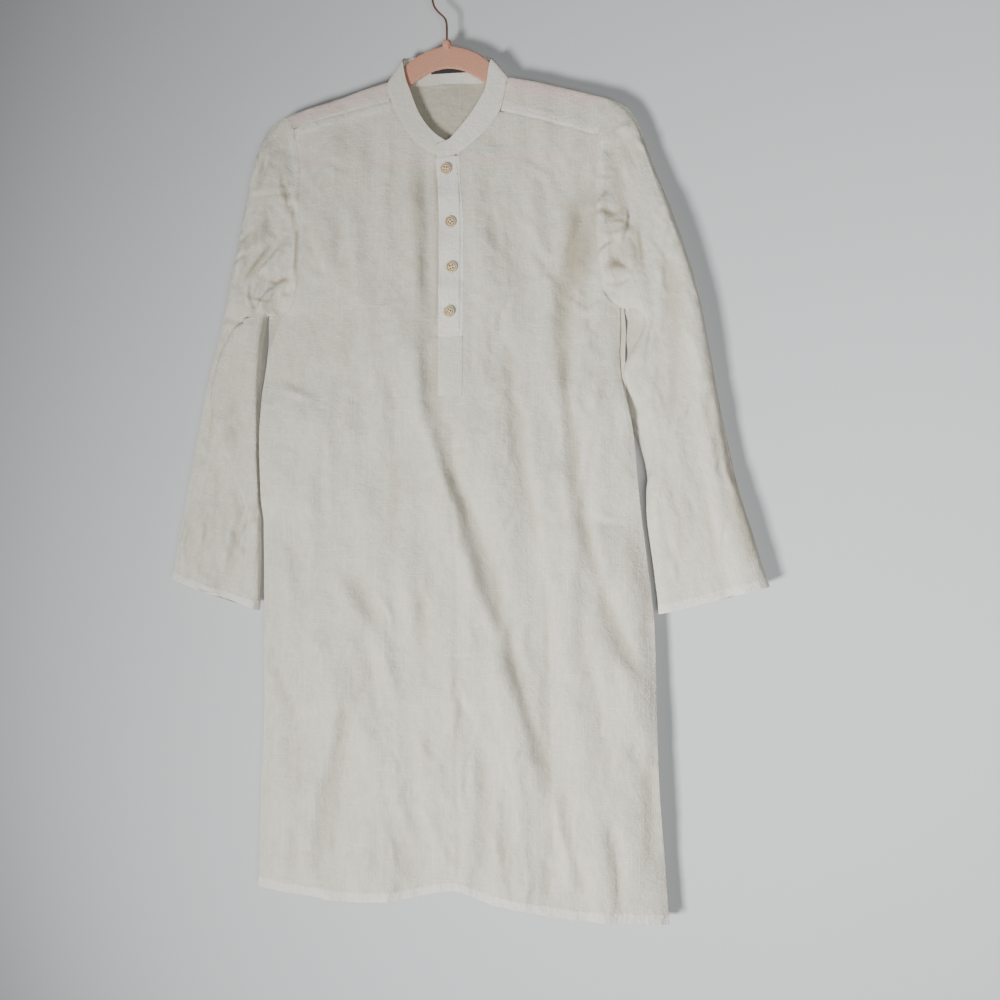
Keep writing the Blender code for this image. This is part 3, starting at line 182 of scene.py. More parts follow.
def refine(piece, low):
    """Cuts the forward faces above this height into four, where creases are small."""
    net = bmesh.new()
    net.from_mesh(piece.data)
    forward = [face for face in net.faces
               if face.normal.y < -0.3 and face.calc_center_median().z > low * MM]
    edges = {edge for face in forward for edge in face.edges}
    bmesh.ops.subdivide_edges(net, edges=list(edges), cuts=1, use_grid_fill=True)
    net.to_mesh(piece.data)
    net.free()


# %% [markdown]
# ## Creases
# A crease is a path down the cloth with a height and a width. Its height rises and falls a little
# along the path and fades out at both ends, so that no two look alike. A ridge stands out of the
# cloth, a trough sinks into it, and a turn lifts one side and lowers the other, as where cloth
# swings round.

# %% Paths
def ease(t):
    """0 to 1 with a soft start and end."""
    t = np.clip(t, 0, 1)
    return t * t * (3 - 2 * t)


def smooth_path(path, step=7.0):
    """The path drawn as a soft curve through its points."""
    path = np.array(path, float)
    if len(path) < 3:
        return path
    ends = np.vstack((2 * path[0] - path[1], path, 2 * path[-1] - path[-2]))
    drawn = []
    for a, b, c, d in zip(ends, ends[1:], ends[2:], ends[3:]):
        count = max(1, int(np.linalg.norm(c - b) / step))
        for t in np.arange(count) / count:
            drawn.append(0.5 * (2 * b + (c - a) * t + (2 * a - 5 * b + 4 * c - d) * t * t
                                + (3 * b - a - 3 * c + d) * t ** 3))
    drawn.append(path[-1])
    return np.array(drawn)


def beside(path, x, z):
    """For each x, z: how far it is off the path, + on its right as it runs, and how far along."""
    nearest = np.full(x.shape, 1e9)
    off, along = np.zeros(x.shape), np.zeros(x.shape)
    start = 0.0
    for (ax, az), (bx, bz) in zip(path, path[1:]):
        dx, dz = bx - ax, bz - az
        length = math.hypot(dx, dz)
        t = np.clip(((x - ax) * dx + (z - az) * dz) / length ** 2, 0, 1)
        ox, oz = x - ax - t * dx, z - az - t * dz
        distance = np.hypot(ox, oz)
        near = distance < nearest
        side = np.where(ox * dz - oz * dx >= 0, 1, -1)
        nearest = np.where(near, distance, nearest)
        off = np.where(near, side * distance, off)
        along = np.where(near, start + t * length, along)
        start += length
    return off, along, start


# %% Crease shapes
SHAPES = {
    "ridge": lambda d: np.exp(-d * d),
    "trough": lambda d: -np.exp(-d * d),
    "turn": lambda d: d * np.exp(0.5 - d * d / 2),
    "nip": lambda d: -np.exp(-1.6 * np.abs(d))}
END_FADE = 45.0                 # a crease dies out over this length, or less if it is short


def crease_heights(creases, x, z):
    """The height that a table of creases adds at each x, z."""
    total = np.zeros(x.shape)
    for number, (shape, height, width, *path) in enumerate(creases):
        path = smooth_path(path)
        margin = 5 * width
        near = ((x > path[:, 0].min() - margin) & (x < path[:, 0].max() + margin)
                & (z > path[:, 1].min() - margin) & (z < path[:, 1].max() + margin))
        if not near.any():
            continue
        off, along, length = beside(path, x[near], z[near])
        fade = min(END_FADE, 0.45 * length)
        level = ease(along / fade) * ease((length - along) / fade)
        level *= 0.82 + 0.18 * np.sin(along / 19 + 1.7 * number)
        spread = width * (0.9 + 0.2 * np.sin(along / 31 + 2.3 * number))
        total[near] += height * level * SHAPES[shape](off / spread)
    return total


# %% [markdown]
# ## Rumples
# Washed linen is never flat. Many low waves, each in its own direction, add up to soft uneven
# lumps. Folding the sum at zero gives the short sharp lines of crumpled cloth between smooth domes.

# %% Rumple
def waves(x, z, size, seed, stretch=1.0):
    """Smooth uneven heights of about -1 to 1, in lumps of about size; stretch lengthens them."""
    source = np.random.default_rng(seed)
    total = np.zeros(x.shape)
    count = 26
    for _ in range(count):
        angle = source.uniform(0, math.pi)
        pace = 2 * math.pi / size * source.uniform(0.55, 1.3)
        start = source.uniform(0, 2 * math.pi)
        total += np.cos(pace * (math.cos(angle) * x + math.sin(angle) / stretch * z) + start)
    return total / math.sqrt(count)


def rumple(x, z, seed):
    """Crumpled linen: soft lumps, folded lumps and small dents."""
    soft = 0.6 * waves(x, z, 95, seed, 2.4) + 0.32 * waves(x, z, 44, seed + 5, 3.0)
    folded = 0.36 * (0.6 - np.abs(waves(x, z, 60, seed + 1, 1.8)))
    small = 0.15 * (0.6 - np.abs(waves(x, z, 27, seed + 2, 1.6))) * waves(x, z, 120, seed + 3)
    return soft + folded + small + 0.05 * waves(x, z, 13, seed + 4)


# %% [markdown]
# ## The creases of the front
# These are listed from the neck down: soft hollows beside the placket, the long diagonal
# that falls from the chest to the hem, the upright folds that lie on each other at the hem, and the
# short hard ones that gather under the arms. The sleeves have their own, at the cap and the elbow.

# %% Front creases
FRONT_CREASES = (
    # shape, height, width, path of x, z points
    ("turn", 0.95, 11, (-27, -240), (-30, -330), (-30, -440), (-27, -520), (-24, -610)),
    ("nip", 0.9, 4, (5, -560), (11, -624), (13, -715), (16, -818), (17, -947), (19, -1076), (20, -1190)),
    ("turn", 1.2, 10, (-32, -482), (-16, -585), (4, -650), (24, -702), (41, -753), (60, -817), (80, -881)),
    ("turn", 1.0, 9, (70, -860), (99, -939), (123, -1021), (138, -1091)),
    ("trough", 1.2, 7, (80, -471), (96, -594), (106, -663), (123, -758)),
    ("nip", 1.6, 4, (129, -766), (132, -842), (133, -944), (134, -1021), (137, -1071), (139, -1122),
     (132, -1218)),
    ("turn", 1.2, 6, (142, -1033), (151, -1071), (157, -1109), (164, -1134), (172, -1172), (179, -1197)),
    ("trough", 1.6, 9, (164, -346), (157, -485), (164, -587), (176, -689), (195, -765), (217, -841),
     (258, -928)),
    ("nip", 1.4, 5, (178, -816), (179, -867), (186, -905), (197, -942), (202, -980), (212, -1005),
     (217, -1068)),
    ("turn", 1.2, 6, (208, -1094), (217, -1144), (223, -1220)),
    ("trough", 1.2, 6, (265, -991), (266, -1080), (264, -1167)),
    ("nip", 1.3, 4.5, (-109, -872), (-101, -898), (-98, -917), (-104, -937), (-112, -953), (-129, -997),
     (-142, -1069), (-150, -1148), (-152, -1175)),
    ("turn", 1.1, 7, (-132, -938), (-142, -997), (-152, -1030), (-163, -1083), (-169, -1136), (-177, -1176)),
    ("nip", 1.3, 4.5, (-237, -848), (-237, -881), (-232, -907), (-221, -940), (-207, -960), (-193, -1032),
     (-188, -1084)),
    ("trough", 0.8, 9, (-25, -780), (-26, -948)),
    ("trough", 0.8, 8, (-16, -974), (-16, -1052)),
    ("trough", 0.9, 8, (-52, -1079), (-38, -1195)),
    ("turn", 1.0, 12, (-132, -768), (-92, -872)),
    ("trough", 0.8, 10, (-60, -600), (-66, -760)),
    ("trough", 0.7, 8, (60, -300), (72, -420)),
    ("trough", 0.8, 7, (-120, -420), (-134, -540)),
    ("turn", 0.8, 9, (44, -980), (52, -1180)),
    ("trough", 0.8, 7, (80, -1090), (88, -1200)),
    ("trough", 0.7, 7, (-90, -1080), (-84, -1195)),
    ("turn", 0.9, 8, (-205, -1090), (-214, -1195)))

# %% Pocket edges and small creases under the arms
FRONT_SHORT = (
    ("turn", 0.7, 4, (-246, -527), (-228, -533), (-207, -541), (-180, -551), (-163, -564)),
    ("turn", -0.6, 4, (-163, -564), (-160, -640), (-159, -715)),
    ("turn", 0.6, 4, (202, -537), (190, -610), (176, -702)),
    ("turn", -0.6, 4, (176, -702), (215, -716), (252, -720)),
    ("nip", 1.1, 4, (-196, -300), (-182, -352), (-164, -392)),
    ("nip", 1.2, 4, (-204, -430), (-186, -452), (-172, -486), (-168, -520)),
    ("ridge", 1.0, 6, (-214, -452), (-196, -480), (-190, -520)),
    ("nip", 1.3, 4, (-226, -470), (-212, -500), (-208, -524)),
    ("nip", 1.3, 4, (186, -300), (176, -340), (150, -392)),
    ("ridge", 1.0, 6, (206, -430), (190, -446), (172, -452)),
    ("nip", 1.4, 4, (212, -452), (196, -472), (184, -510)),
    ("nip", 1.1, 4, (218, -500), (206, -540), (204, -590)),
    ("trough", 1.0, 5, (196, -560), (188, -598)),
    ("nip", 0.9, 4, (-240, -600), (-226, -624), (-222, -668)),
    ("nip", 0.9, 4, (-178, -590), (-196, -618), (-200, -660)),
    ("nip", 0.9, 4, (-238, -736), (-210, -752), (-190, -788)),
    ("nip", 0.9, 4, (246, -760), (222, -776), (206, -812)))

# %% [markdown]
# ## Where shade is painted on the front
# Low light leaves soft strips of shade beside the placket, inside the shoulder and at the bottoms
# of the creases round the sleeve caps. They are kept apart from the heights, and painted into the
# cloth's colour as shade.

# %% Shades
FRONT_SHADES = (
    # how strong the painted shade is, width, path of x, z points
    (0.6, 4.5, (-16, -235), (-15, -250), (-11, -287), (-9, -352), (-9, -430), (-13, -480)),
    (0.6, 3, (-26, -478), (-10, -478), (10, -479), (30, -479)),
    (0.5, 2.5, (-8, -470), (-8, -500), (-8, -545), (-8, -570)),
    (0.32, 13, (-46, -240), (-40, -286), (-35, -351), (-30, -429), (-22, -520)),
    (0.45, 12, (168, -290), (166, -339), (163, -386), (158, -434), (156, -485), (153, -570)),
    (0.48, 18, (188, -270), (184, -320), (176, -380), (172, -430)),
    (0.35, 9, (212, -240), (222, -290), (232, -330), (232, -420)),
    (0.22, 12, (-10, -560), (0, -640), (20, -700), (44, -760)),
    (0.9, 2.6, (-225, -240), (-222, -261), (-218, -284), (-208, -304), (-203, -338), (-202, -371),
     (-202, -424)),
    (1.0, 3.6, (-227, -335), (-236, -347), (-249, -361), (-265, -382), (-278, -402)),
    (0.4, 10, (-236, -300), (-250, -330), (-266, -360)),
    (0.8, 2.5, (-248, -392), (-232, -401), (-218, -396), (-200, -399)),
    (0.6, 2.5, (-280, -412), (-258, -421), (-242, -425), (-226, -420)),
    (1.0, 2.2, (192, -320), (197, -311), (204, -302), (216, -290)),
    (1.0, 3, (190, -325), (204, -320), (216, -325), (232, -322)),
    (0.8, 2.5, (208, -334), (226, -333), (244, -342)),
    (0.8, 2.2, (196, -380), (204, -368), (222, -357)),
    (1.0, 6, (204, -402), (212, -392), (222, -388), (236, -398)),
    (0.6, 5, (243, -318), (248, -340), (252, -370), (257, -415)))

# %% Sleeve creases, front
SLEEVE_FRONT = (
    ("trough", 1.8, 8, (-229, -342), (-246, -360), (-262, -377), (-272, -397)),
    ("nip", 1.0, 4, (-226, -246), (-218, -273), (-210, -293), (-203, -320), (-199, -346), (-196, -366)),
    ("turn", 0.9, 6, (-232, -213), (-244, -228), (-255, -258), (-262, -278)),
    ("nip", 1.3, 4, (-238, -372), (-256, -402), (-270, -420)),
    ("ridge", 1.3, 6, (-222, -400), (-240, -416), (-256, -440)),
    ("ridge", 1.3, 7, (-218, -352), (-236, -372), (-250, -396)),
    ("nip", 1.2, 4, (-204, -404), (-214, -414), (-226, -412)),
    ("turn", 1.0, 7, (-280, -470), (-292, -540), (-300, -640)),
    ("nip", 1.0, 4, (-306, -500), (-318, -560), (-330, -640)),
    ("trough", 1.2, 7, (-276, -700), (-288, -750), (-300, -810)),
    ("nip", 1.0, 4, (-322, -700), (-330, -740), (-340, -796)),
    ("turn", 0.9, 6, (-350, -700), (-358, -760), (-362, -800)),
    ("nip", 0.8, 4, (-262, -560), (-282, -590), (-296, -636)),
    ("ridge", 1.0, 8, (-270, -330), (-286, -400)),
    ("nip", 1.8, 5, (211, -388), (221, -383), (237, -394), (241, -401)),
    ("nip", 1.6, 4.5, (241, -403), (227, -412), (209, -412)),
    ("nip", 1.9, 4.5, (202, -352), (208, -341), (217, -328), (226, -322)),
    ("ridge", 1.8, 6, (206, -366), (220, -352), (240, -346), (254, -352)),
    ("nip", 1.4, 4, (222, -352), (230, -340), (236, -332)),
    ("trough", 1.8, 7, (243, -327), (247, -355), (252, -387), (258, -408)),
    ("trough", 1.4, 6, (204, -324), (212, -322), (227, -325)),
    ("ridge", 1.2, 7, (227, -206), (252, -235), (271, -274), (277, -299)),
    ("nip", 1.3, 5, (218, -214), (238, -246), (250, -276)),
    ("turn", 1.2, 10, (282, -362), (284, -470), (286, -601)),
    ("nip", 1.4, 5, (330, -477), (339, -527), (349, -549), (354, -596), (363, -633), (376, -689), (388, -726),
     (400, -780)),
    ("turn", 1.2, 7, (322, -540), (336, -604), (352, -664), (361, -714), (371, -764)),
    ("trough", 1.2, 6, (370, -664), (384, -739), (394, -790)),
    ("nip", 1.1, 4.5, (262, -470), (280, -486), (296, -520)),
    ("nip", 1.2, 4.5, (246, -520), (272, -540), (290, -580)),
    ("trough", 1.1, 6, (280, -640), (296, -700), (306, -780)),
    ("turn", 1.0, 8, (320, -640), (332, -720), (340, -800)),
    ("nip", 1.0, 4, (270, -690), (284, -730), (288, -780)))

# %% [markdown]
# ## The creases of the back
# Nobody sees the back from the front, but it hangs from the same shoulders. It gets folds of the
# same kinds: long ones that fall from the yoke and spread to the hem, and short ones under the arms.

# %% Back creases
BACK_CREASES = (
    ("turn", 1.6, 12, (-150, -250), (-156, -420), (-160, -620), (-170, -820)),
    ("nip", 1.3, 5, (-92, -420), (-100, -600), (-104, -780), (-118, -960), (-124, -1120)),
    ("turn", 1.3, 9, (-40, -700), (-46, -880), (-58, -1040), (-62, -1190)),
    ("nip", 1.0, 4, (6, -300), (8, -520), (10, -760), (13, -980), (14, -1200)),
    ("trough", 1.4, 9, (48, -260), (60, -420), (62, -600), (74, -760)),
    ("turn", 1.4, 10, (104, -520), (112, -700), (128, -860), (134, -1040), (142, -1200)),
    ("nip", 1.4, 5, (160, -330), (168, -520), (176, -640), (192, -760), (200, -900)),
    ("turn", 1.3, 8, (206, -860), (216, -980), (228, -1080), (236, -1210)),
    ("nip", 1.3, 4.5, (-210, -880), (-200, -960), (-190, -1080), (-186, -1180)),
    ("trough", 1.3, 8, (-232, -640), (-214, -720), (-206, -820)),
    ("trough", 1.0, 7, (-140, -1010), (-150, -1180)),
    ("trough", 1.0, 7, (90, -1060), (96, -1195)),
    ("nip", 1.3, 4, (-196, -300), (-184, -360), (-162, -410)),
    ("nip", 1.3, 4, (-210, -440), (-186, -470), (-174, -540)),
    ("nip", 1.3, 4, (190, -300), (176, -350), (156, -400)),
    ("nip", 1.3, 4, (212, -446), (192, -474), (182, -540)),
    ("trough", 1.0, 7, (-70, -250), (-74, -330)),
    ("trough", 1.0, 7, (96, -250), (104, -330)))

SLEEVE_BACK = (
    ("nip", 1.5, 4.5, (-214, -300), (-236, -340), (-262, -366)),
    ("nip", 1.4, 4.5, (-210, -372), (-236, -396), (-270, -410)),
    ("ridge", 1.4, 7, (-212, -340), (-236, -370), (-270, -390)),
    ("trough", 1.4, 8, (-284, -440), (-300, -540), (-320, -640)),
    ("nip", 1.2, 4.5, (-262, -500), (-290, -530), (-322, -540)),
    ("turn", 1.2, 8, (-280, -620), (-296, -720), (-306, -810)),
    ("nip", 1.1, 4.5, (-330, -660), (-346, -730), (-352, -790)),
    ("nip", 1.5, 4.5, (214, -300), (240, -330), (272, -344)),
    ("nip", 1.5, 4.5, (214, -380), (240, -400), (284, -402)),
    ("ridge", 1.4, 7, (214, -340), (246, -366), (290, -376)),
    ("trough", 1.4, 8, (286, -430), (300, -520), (322, -620)),
    ("nip", 1.3, 4.5, (246, -500), (290, -520), (330, -512)),
    ("nip", 1.2, 4.5, (262, -560), (300, -590), (340, -590)),
    ("turn", 1.2, 8, (300, -640), (322, -720), (336, -810)),
    ("nip", 1.1, 4.5, (346, -660), (366, -730), (380, -790)))
print("creases placed:", sum(map(len, (FRONT_CREASES, FRONT_SHORT, SLEEVE_FRONT, BACK_CREASES, SLEEVE_BACK))))

# %% [markdown]
# ## Small creases everywhere
# Between the folds, washed linen keeps dozens of short creases, mostly upright, where it was
# squeezed. They are too many to place one by one, so they are drawn at random from a fixed seed,
# thicker at the sides and towards the hem than on the chest.

# %% Scatter creases
def scatter(count, left, right, low, high, seed, lean=0.35, height=0.75):
    """Short creases at random places in a region of the cloth."""
    source = np.random.default_rng(seed)
    made = []
    for _ in range(count):
        x, z = source.uniform(left, right), source.uniform(low, high)
        angle = source.normal(0, lean)
        length = source.uniform(22, 85)
        bow = source.uniform(-0.14, 0.14) * length
        dx, dz = math.sin(angle) * length / 2, -math.cos(angle) * length / 2
        shape = source.choice(("nip", "turn", "trough", "ridge"))
        made.append((str(shape), height * source.uniform(0.5, 1.25), source.uniform(3.4, 5.6),
                     (x - dx, z - dz), (x + bow, z), (x + dx, z + dz)))
    return tuple(made)


FRONT_CRINKLES = (
    scatter(60, -240, -130, -1190, -480, 101) + scatter(60, 120, 270, -1200, -480, 102)
    + scatter(80, -130, 120, -1195, -760, 103) + scatter(34, -120, 110, -760, -330, 104, height=0.5)
    + scatter(26, -190, -120, -480, -250, 105, 0.6, 0.5) + scatter(26, 110, 190, -480, -250, 106, 0.6, 0.7)
    + scatter(44, -372, -262, -810, -440, 107, 0.5, 0.9) + scatter(24, -290, -205, -440, -200, 108, 0.7, 0.9)
    + scatter(50, 262, 400, -810, -430, 109, 0.5, 0.9) + scatter(26, 205, 310, -430, -200, 110, 0.7, 1.0))
BACK_CRINKLES = (
    scatter(150, -240, 270, -1200, -480, 201) + scatter(60, -190, 190, -480, -240, 202, 0.5, 0.55)
    + scatter(64, -372, -215, -810, -240, 203, 0.6, 0.9) + scatter(64, 215, 400, -810, -240, 204, 0.6, 0.9))
print("small creases:", len(FRONT_CRINKLES) + len(BACK_CRINKLES))

# %% [markdown]
# ## Seams
# A sewn seam pulls the cloth in along its line, and its allowance, pressed to one side, lifts a
# strip beside it. The neck's seam is only pulled in, because its allowance is up in the collar.

# %% Seam lines
SEAM_LINES = (
    # the side its allowance lies on, and the seam
    (1, ((-208, -193), (-202, -212), (-199, -265), (-198, -340), (-199, -380), (-206, -424))),
    (-1, ((200, -221), (196, -268), (195, -305), (199, -382), (208, -426))),
    (-1, ((-75, -164), (-130, -176), (-206, -195))),
    (-1, ((72, -184), (130, -201), (198, -222))))
NECK_LINES = (
    ((-79, -140), (-78, -150), (-75, -164), (-69, -176), (-62, -190), (-53, -206), (-38, -223),
     (-22, -234), (-10, -239)),
    ((82, -141), (79.5, -150), (72, -184), (65, -193), (57, -203), (47, -214), (35, -224), (24, -232),
     (14, -238), (-12, -241)))
SEAMS_LOW = -470.0              # all of these seams are above this
ALLOWANCE, ALLOWANCE_LIFT = 12.0, 0.55
SEAM_DEPTH, SEAM_HALF = 0.75, 1.5
NECK_DEPTH, NECK_HALF = 1.0, 2.0


def seam_heights(x, z):
    """Ditches along the seams, and the strips that their allowances lift."""
    total = np.zeros(x.shape)
    near = z > SEAMS_LOW
    for side, line in SEAM_LINES:
        off, along, length = beside(line, x[near], z[near])
        ends = ease(along / 4) * ease((length - along) / 4)
        lifted = ease(off * side / 1.6) * (1 - ease((off * side - ALLOWANCE + 2) / 2.5))
        ditch = SEAM_DEPTH * np.exp(-(off / SEAM_HALF) ** 2)
        total[near] += ends * (ALLOWANCE_LIFT * lifted - ditch)
    for line in NECK_LINES:
        off, _, _ = beside(line, x[near], z[near])
        total[near] -= NECK_DEPTH * np.exp(-(off / NECK_HALF) ** 2)
    return total


# %% [markdown]
# ## One height for all layers
# All that faces forward is lifted by one height map, and all that faces back by another. Pieces
# that lie on each other then move together, and the two sides of a seam meet. The map fades where
# cloth turns from front to back, at side seams and along the sleeves' folds.

# %% Heights of the cloth
PLACKET_MIDDLE, PLACKET_HALF, PLACKET_LOW = 7.5, 34.0, -575.0
PLACKET_CALM, SHOULDER_CALM = 0.85, 0.5     # the share of the creases that they lose
TURN_DEPTH = 4.2                # cloth nearer the middle plane than this is on the turn
FOLDS, CRINKLES, RUMPLES = 5.0, 3.0, 5.2    # how high each kind stands
FRONT_SEED, BACK_SEED = 11, 47
BODY_MIDDLE, BODY_HALF = 12.0, 214.0        # beyond this half the sleeves begin
HANGER_LOW = -236.0             # the hanger is behind the cloth above this
DEEPEST, SHALLOWEST = 4.4, 1.2  # how deep a hollow may go on the body, and at least everywhere
HANGER_TAKES, SLEEVE_TAKES, SLEEVE_BACK_TAKES = 2.8, 1.1, 3.2      # less deep by this
HIGHEST, SLEEVE_LOWERS = 11.0, 6.0          # how high a crest may stand


def bounded(height, x, z, rear):
    """The same heights, kept shallow over the hanger and in the thin sleeves."""
    in_sleeve = ease((np.abs(x - BODY_MIDDLE) - BODY_HALF) / 20)
    limit = DEEPEST - HANGER_TAKES * ease((z - HANGER_LOW) / 26)
    limit = limit - (SLEEVE_BACK_TAKES if rear else SLEEVE_TAKES) * in_sleeve
    limit = np.maximum(limit, SHALLOWEST)
    crest = HIGHEST - SLEEVE_LOWERS * in_sleeve
    return np.where(height < 0, -limit * np.tanh(-height / limit), crest * np.tanh(height / crest))


def shoulder_calm(z):
    """The share of the small creases that stays, less over the shoulders."""
    return 1 - SHOULDER_CALM * ease((z + 240) / 60)


def front_height(x, z):
    """How far the forward cloth stands out at x, z."""
    folds = FOLDS * crease_heights(FRONT_CREASES + FRONT_SHORT, x, z)
    small = CRINKLES * crease_heights(FRONT_CRINKLES, x, z) + RUMPLES * rumple(x, z, FRONT_SEED)
    placket = ease((PLACKET_HALF - np.abs(x - PLACKET_MIDDLE)) / 14) * ease((z - PLACKET_LOW) / 30)
    free = 1 - PLACKET_CALM * placket
    arm_share = np.where(x < 0, 1.6, 0.7 - 0.45 * ease((-z - 430) / 60))
    arms = arm_share * FOLDS * crease_heights(SLEEVE_FRONT, x, z)
    height = folds * free + small * (free * shoulder_calm(z)) + arms
    return bounded(height, x, z, False) + seam_heights(x, z)


def back_height(x, z):
    """How far the rear cloth stands out at x, z."""
    folds = FOLDS * crease_heights(BACK_CREASES + SLEEVE_BACK, x, z)
    small = CRINKLES * crease_heights(BACK_CRINKLES, x, z) + RUMPLES * rumple(x, z, BACK_SEED)
    return bounded(folds + small * shoulder_calm(z), x, z, True)


def dress(piece, share=1.0):
    """Lifts a cloth piece by the two height maps."""
    points = coordinates(piece.data)
    x, y, z = points.T
    ahead = ease(-y / TURN_DEPTH)
    behind = ease(y / TURN_DEPTH)
    points[:, 1] += share * (behind * back_height(x, z) - ahead * front_height(x, z))
    set_coordinates(piece.data, points)


# %% [markdown]
# ## Corners and underarms
# Where yoke, front and sleeve are sewn together, the cloth draws in to the corner. Under the arms
# the rear layer hangs wider than the forward one, so that it shows beside it.

# %% Corners and underarms
CORNERS = ((-206, -195), (198, -222))       # x and z where yoke, front and sleeve meet
CORNER_REACH, CORNER_DRAW = 9.0, 0.85


def close_corners(piece):
    """Draws the cloth in to the corners where three pieces are sewn together."""
    points = coordinates(piece.data)
    for corner in CORNERS:
        off = points[:, (0, 2)] - corner
        reach = np.hypot(*off.T)
        inside = (reach < CORNER_REACH) & (points[:, 1] < 0)
        drawn = np.where(inside, CORNER_DRAW * (1 - reach / CORNER_REACH) ** 2, 0)
        points[:, (0, 2)] -= off * drawn[:, None]
    set_coordinates(piece.data, points)


SPILLS = (
    # node, x and z of the middle, half its width and height, how far it moves along x
    ("back_body", -218, -436, 46, 84, -20),
    ("back_body", 226, -480, 50, 90, 8),
    ("right_sleeve", -262, -500, 40, 80, 5),
    ("left_sleeve", 254, -462, 40, 62, -24),
    ("left_sleeve", 262, -590, 44, 96, -24))


def spill(node, piece):
    """Lets the rear layer show beside the forward one, under the arms."""
    points = coordinates(piece.data)
    x, y, z = points.T.copy()
    for name, middle, level, width, height, shift in SPILLS:
        if name == node:
            near = ease(1 - np.abs(x - middle) / width) * ease(1 - np.abs(z - level) / height)
            rear = 1 if node == "back_body" else ease((y + 0.5) / 2)
            points[:, 0] += shift * near * rear
    set_coordinates(piece.data, points)


# %% [markdown]
# ## The cloth pieces
# The yoke and the placket's face take three rounds of subdivision and the rest two. The sleeves'
# fronts are cut finer still above the elbow, to carry the small creases under the arms. The
# collar is doubled and stiffened, so it takes half of the creases.

# %% Make the cloth
CLOTH = (
    # node, piece, subdivision, share of the creases
    ("front_body", "front_cloth", 2, 1.0),
    ("back_body", "back_cloth", 2, 1.0),
    ("yoke", "yoke_cloth", 3, 1.0),
    ("right_sleeve", "right_sleeve_cloth", 2, 1.0),
    ("left_sleeve", "left_sleeve_cloth", 2, 1.0),
    ("collar_band", "collar_cloth", 2, 0.5),
    ("placket_strip", "placket_strip_cloth", 3, 1.0),
    ("placket_base", "placket_base_cloth", 3, 1.0),
    ("under_placket", "under_placket_cloth", 2, 1.0),
    ("right_pocket_bag", "right_pocket_cloth", 2, 1.0),
    ("left_pocket_bag", "left_pocket_cloth", 2, 1.0))
SLEEVES_REFINED_ABOVE = -450.0
cloth = {}
for node, name, levels, share in CLOTH:
    cloth[node] = fine_copy(node, name, levels)
    if "sleeve" in node:
        refine(cloth[node], SLEEVES_REFINED_ABOVE)
    dress(cloth[node], share)
    close_corners(cloth[node])
    spill(node, cloth[node])
    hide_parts(node)
    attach(cloth[node], "root")
    print(name, len(cloth[node].data.polygons), "faces")

# %% [markdown]
# ## Pressing the placket
# The strip is sewn to the front all down its right edge, and its base all round, so there both are
# pressed onto the front. The strip's left edge stays free, and stands off it as it laps.

# %% Press
def surface_of(*pieces):
    """Something that rays can be cast at, for these pieces together."""
    points, faces = [], []
    for piece in pieces:
        start = len(points)
        points += [tuple(point) for point in coordinates(piece.data)]
        faces += [[start + i for i in face.vertices] for face in piece.data.polygons]
    return BVHTree.FromPolygons(points, faces)


BASE_PRESSED, STRIP_PRESSED = 0.55, 0.85
IN_FRONT = 90.0                 # rays start this far off the middle plane


def press(piece, surface, share_at):
    """Brings a piece's points closer to the surface behind them; share_at(x) is how much."""
    points = coordinates(piece.data)
    for index, (x, y, z) in enumerate(points):
        behind = surface.ray_cast(Vector((x, -IN_FRONT, z)), Vector((0, 1, 0)))[0]
        if behind is not None:
            points[index, 1] += share_at(x) * (behind.y - y)
    set_coordinates(piece.data, points)


FRONT_SURFACE = surface_of(cloth["front_body"])
press(cloth["placket_base"], FRONT_SURFACE, lambda x: BASE_PRESSED)
press(cloth["placket_strip"], FRONT_SURFACE, lambda x: STRIP_PRESSED * float(ease((x - 4) / 18)))

# %% [markdown]
# ## Stitches
# A topstitched line is a row of short thread bars, each pulled a little into the cloth. One bar is
# modelled from a sphere with a few faces, and it is repeated along a path on the cloth's surface,
# found by looking at the cloth straight from the front or the back.

# %% One stitch
STITCH_PITCH = 2.9              # from one stitch to the next
STITCH_LENGTH = 2.2
THREAD = 0.27                   # radius of the sewing thread


def model_stitch():
    """Points and faces of one stitch that lies along x, with its underside at z = 0."""
    bpy.ops.object.select_all(action="DESELECT")
    bpy.ops.mesh.primitive_uv_sphere_add(segments=6, ring_count=4, radius=1,
                                         rotation=(0, math.radians(90), 0))
    bar = bpy.context.object
    bpy.ops.object.transform_apply(location=False, rotation=True, scale=False)
    shape = coordinates(bar.data) * MM
    faces = [tuple(face.vertices) for face in bar.data.polygons]
    bpy.data.objects.remove(bar)
    return shape * (STITCH_LENGTH / 2, THREAD, THREAD), faces


STITCH_POINTS, STITCH_FACES = model_stitch()
print("faces in a stitch:", len(STITCH_FACES))


# %% Laying stitches
def on_surface(surface, x, z, side):
    """The outermost point and its normal at x, z; side is -1 from the front, 1 from the back."""
    hit, normal, _, _ = surface.ray_cast(Vector((x, IN_FRONT * side, z)), Vector((0, -side, 0)))
    return hit, normal


def spaced(path, pitch):
    """Points every pitch along a path."""
    path = smooth_path(path, 4.0)
    lengths = np.concatenate(([0], np.cumsum(np.linalg.norm(np.diff(path, axis=0), axis=1))))
    where = np.arange(0, lengths[-1], pitch)
    return np.column_stack([np.interp(where, lengths, path[:, axis]) for axis in (0, 1)])


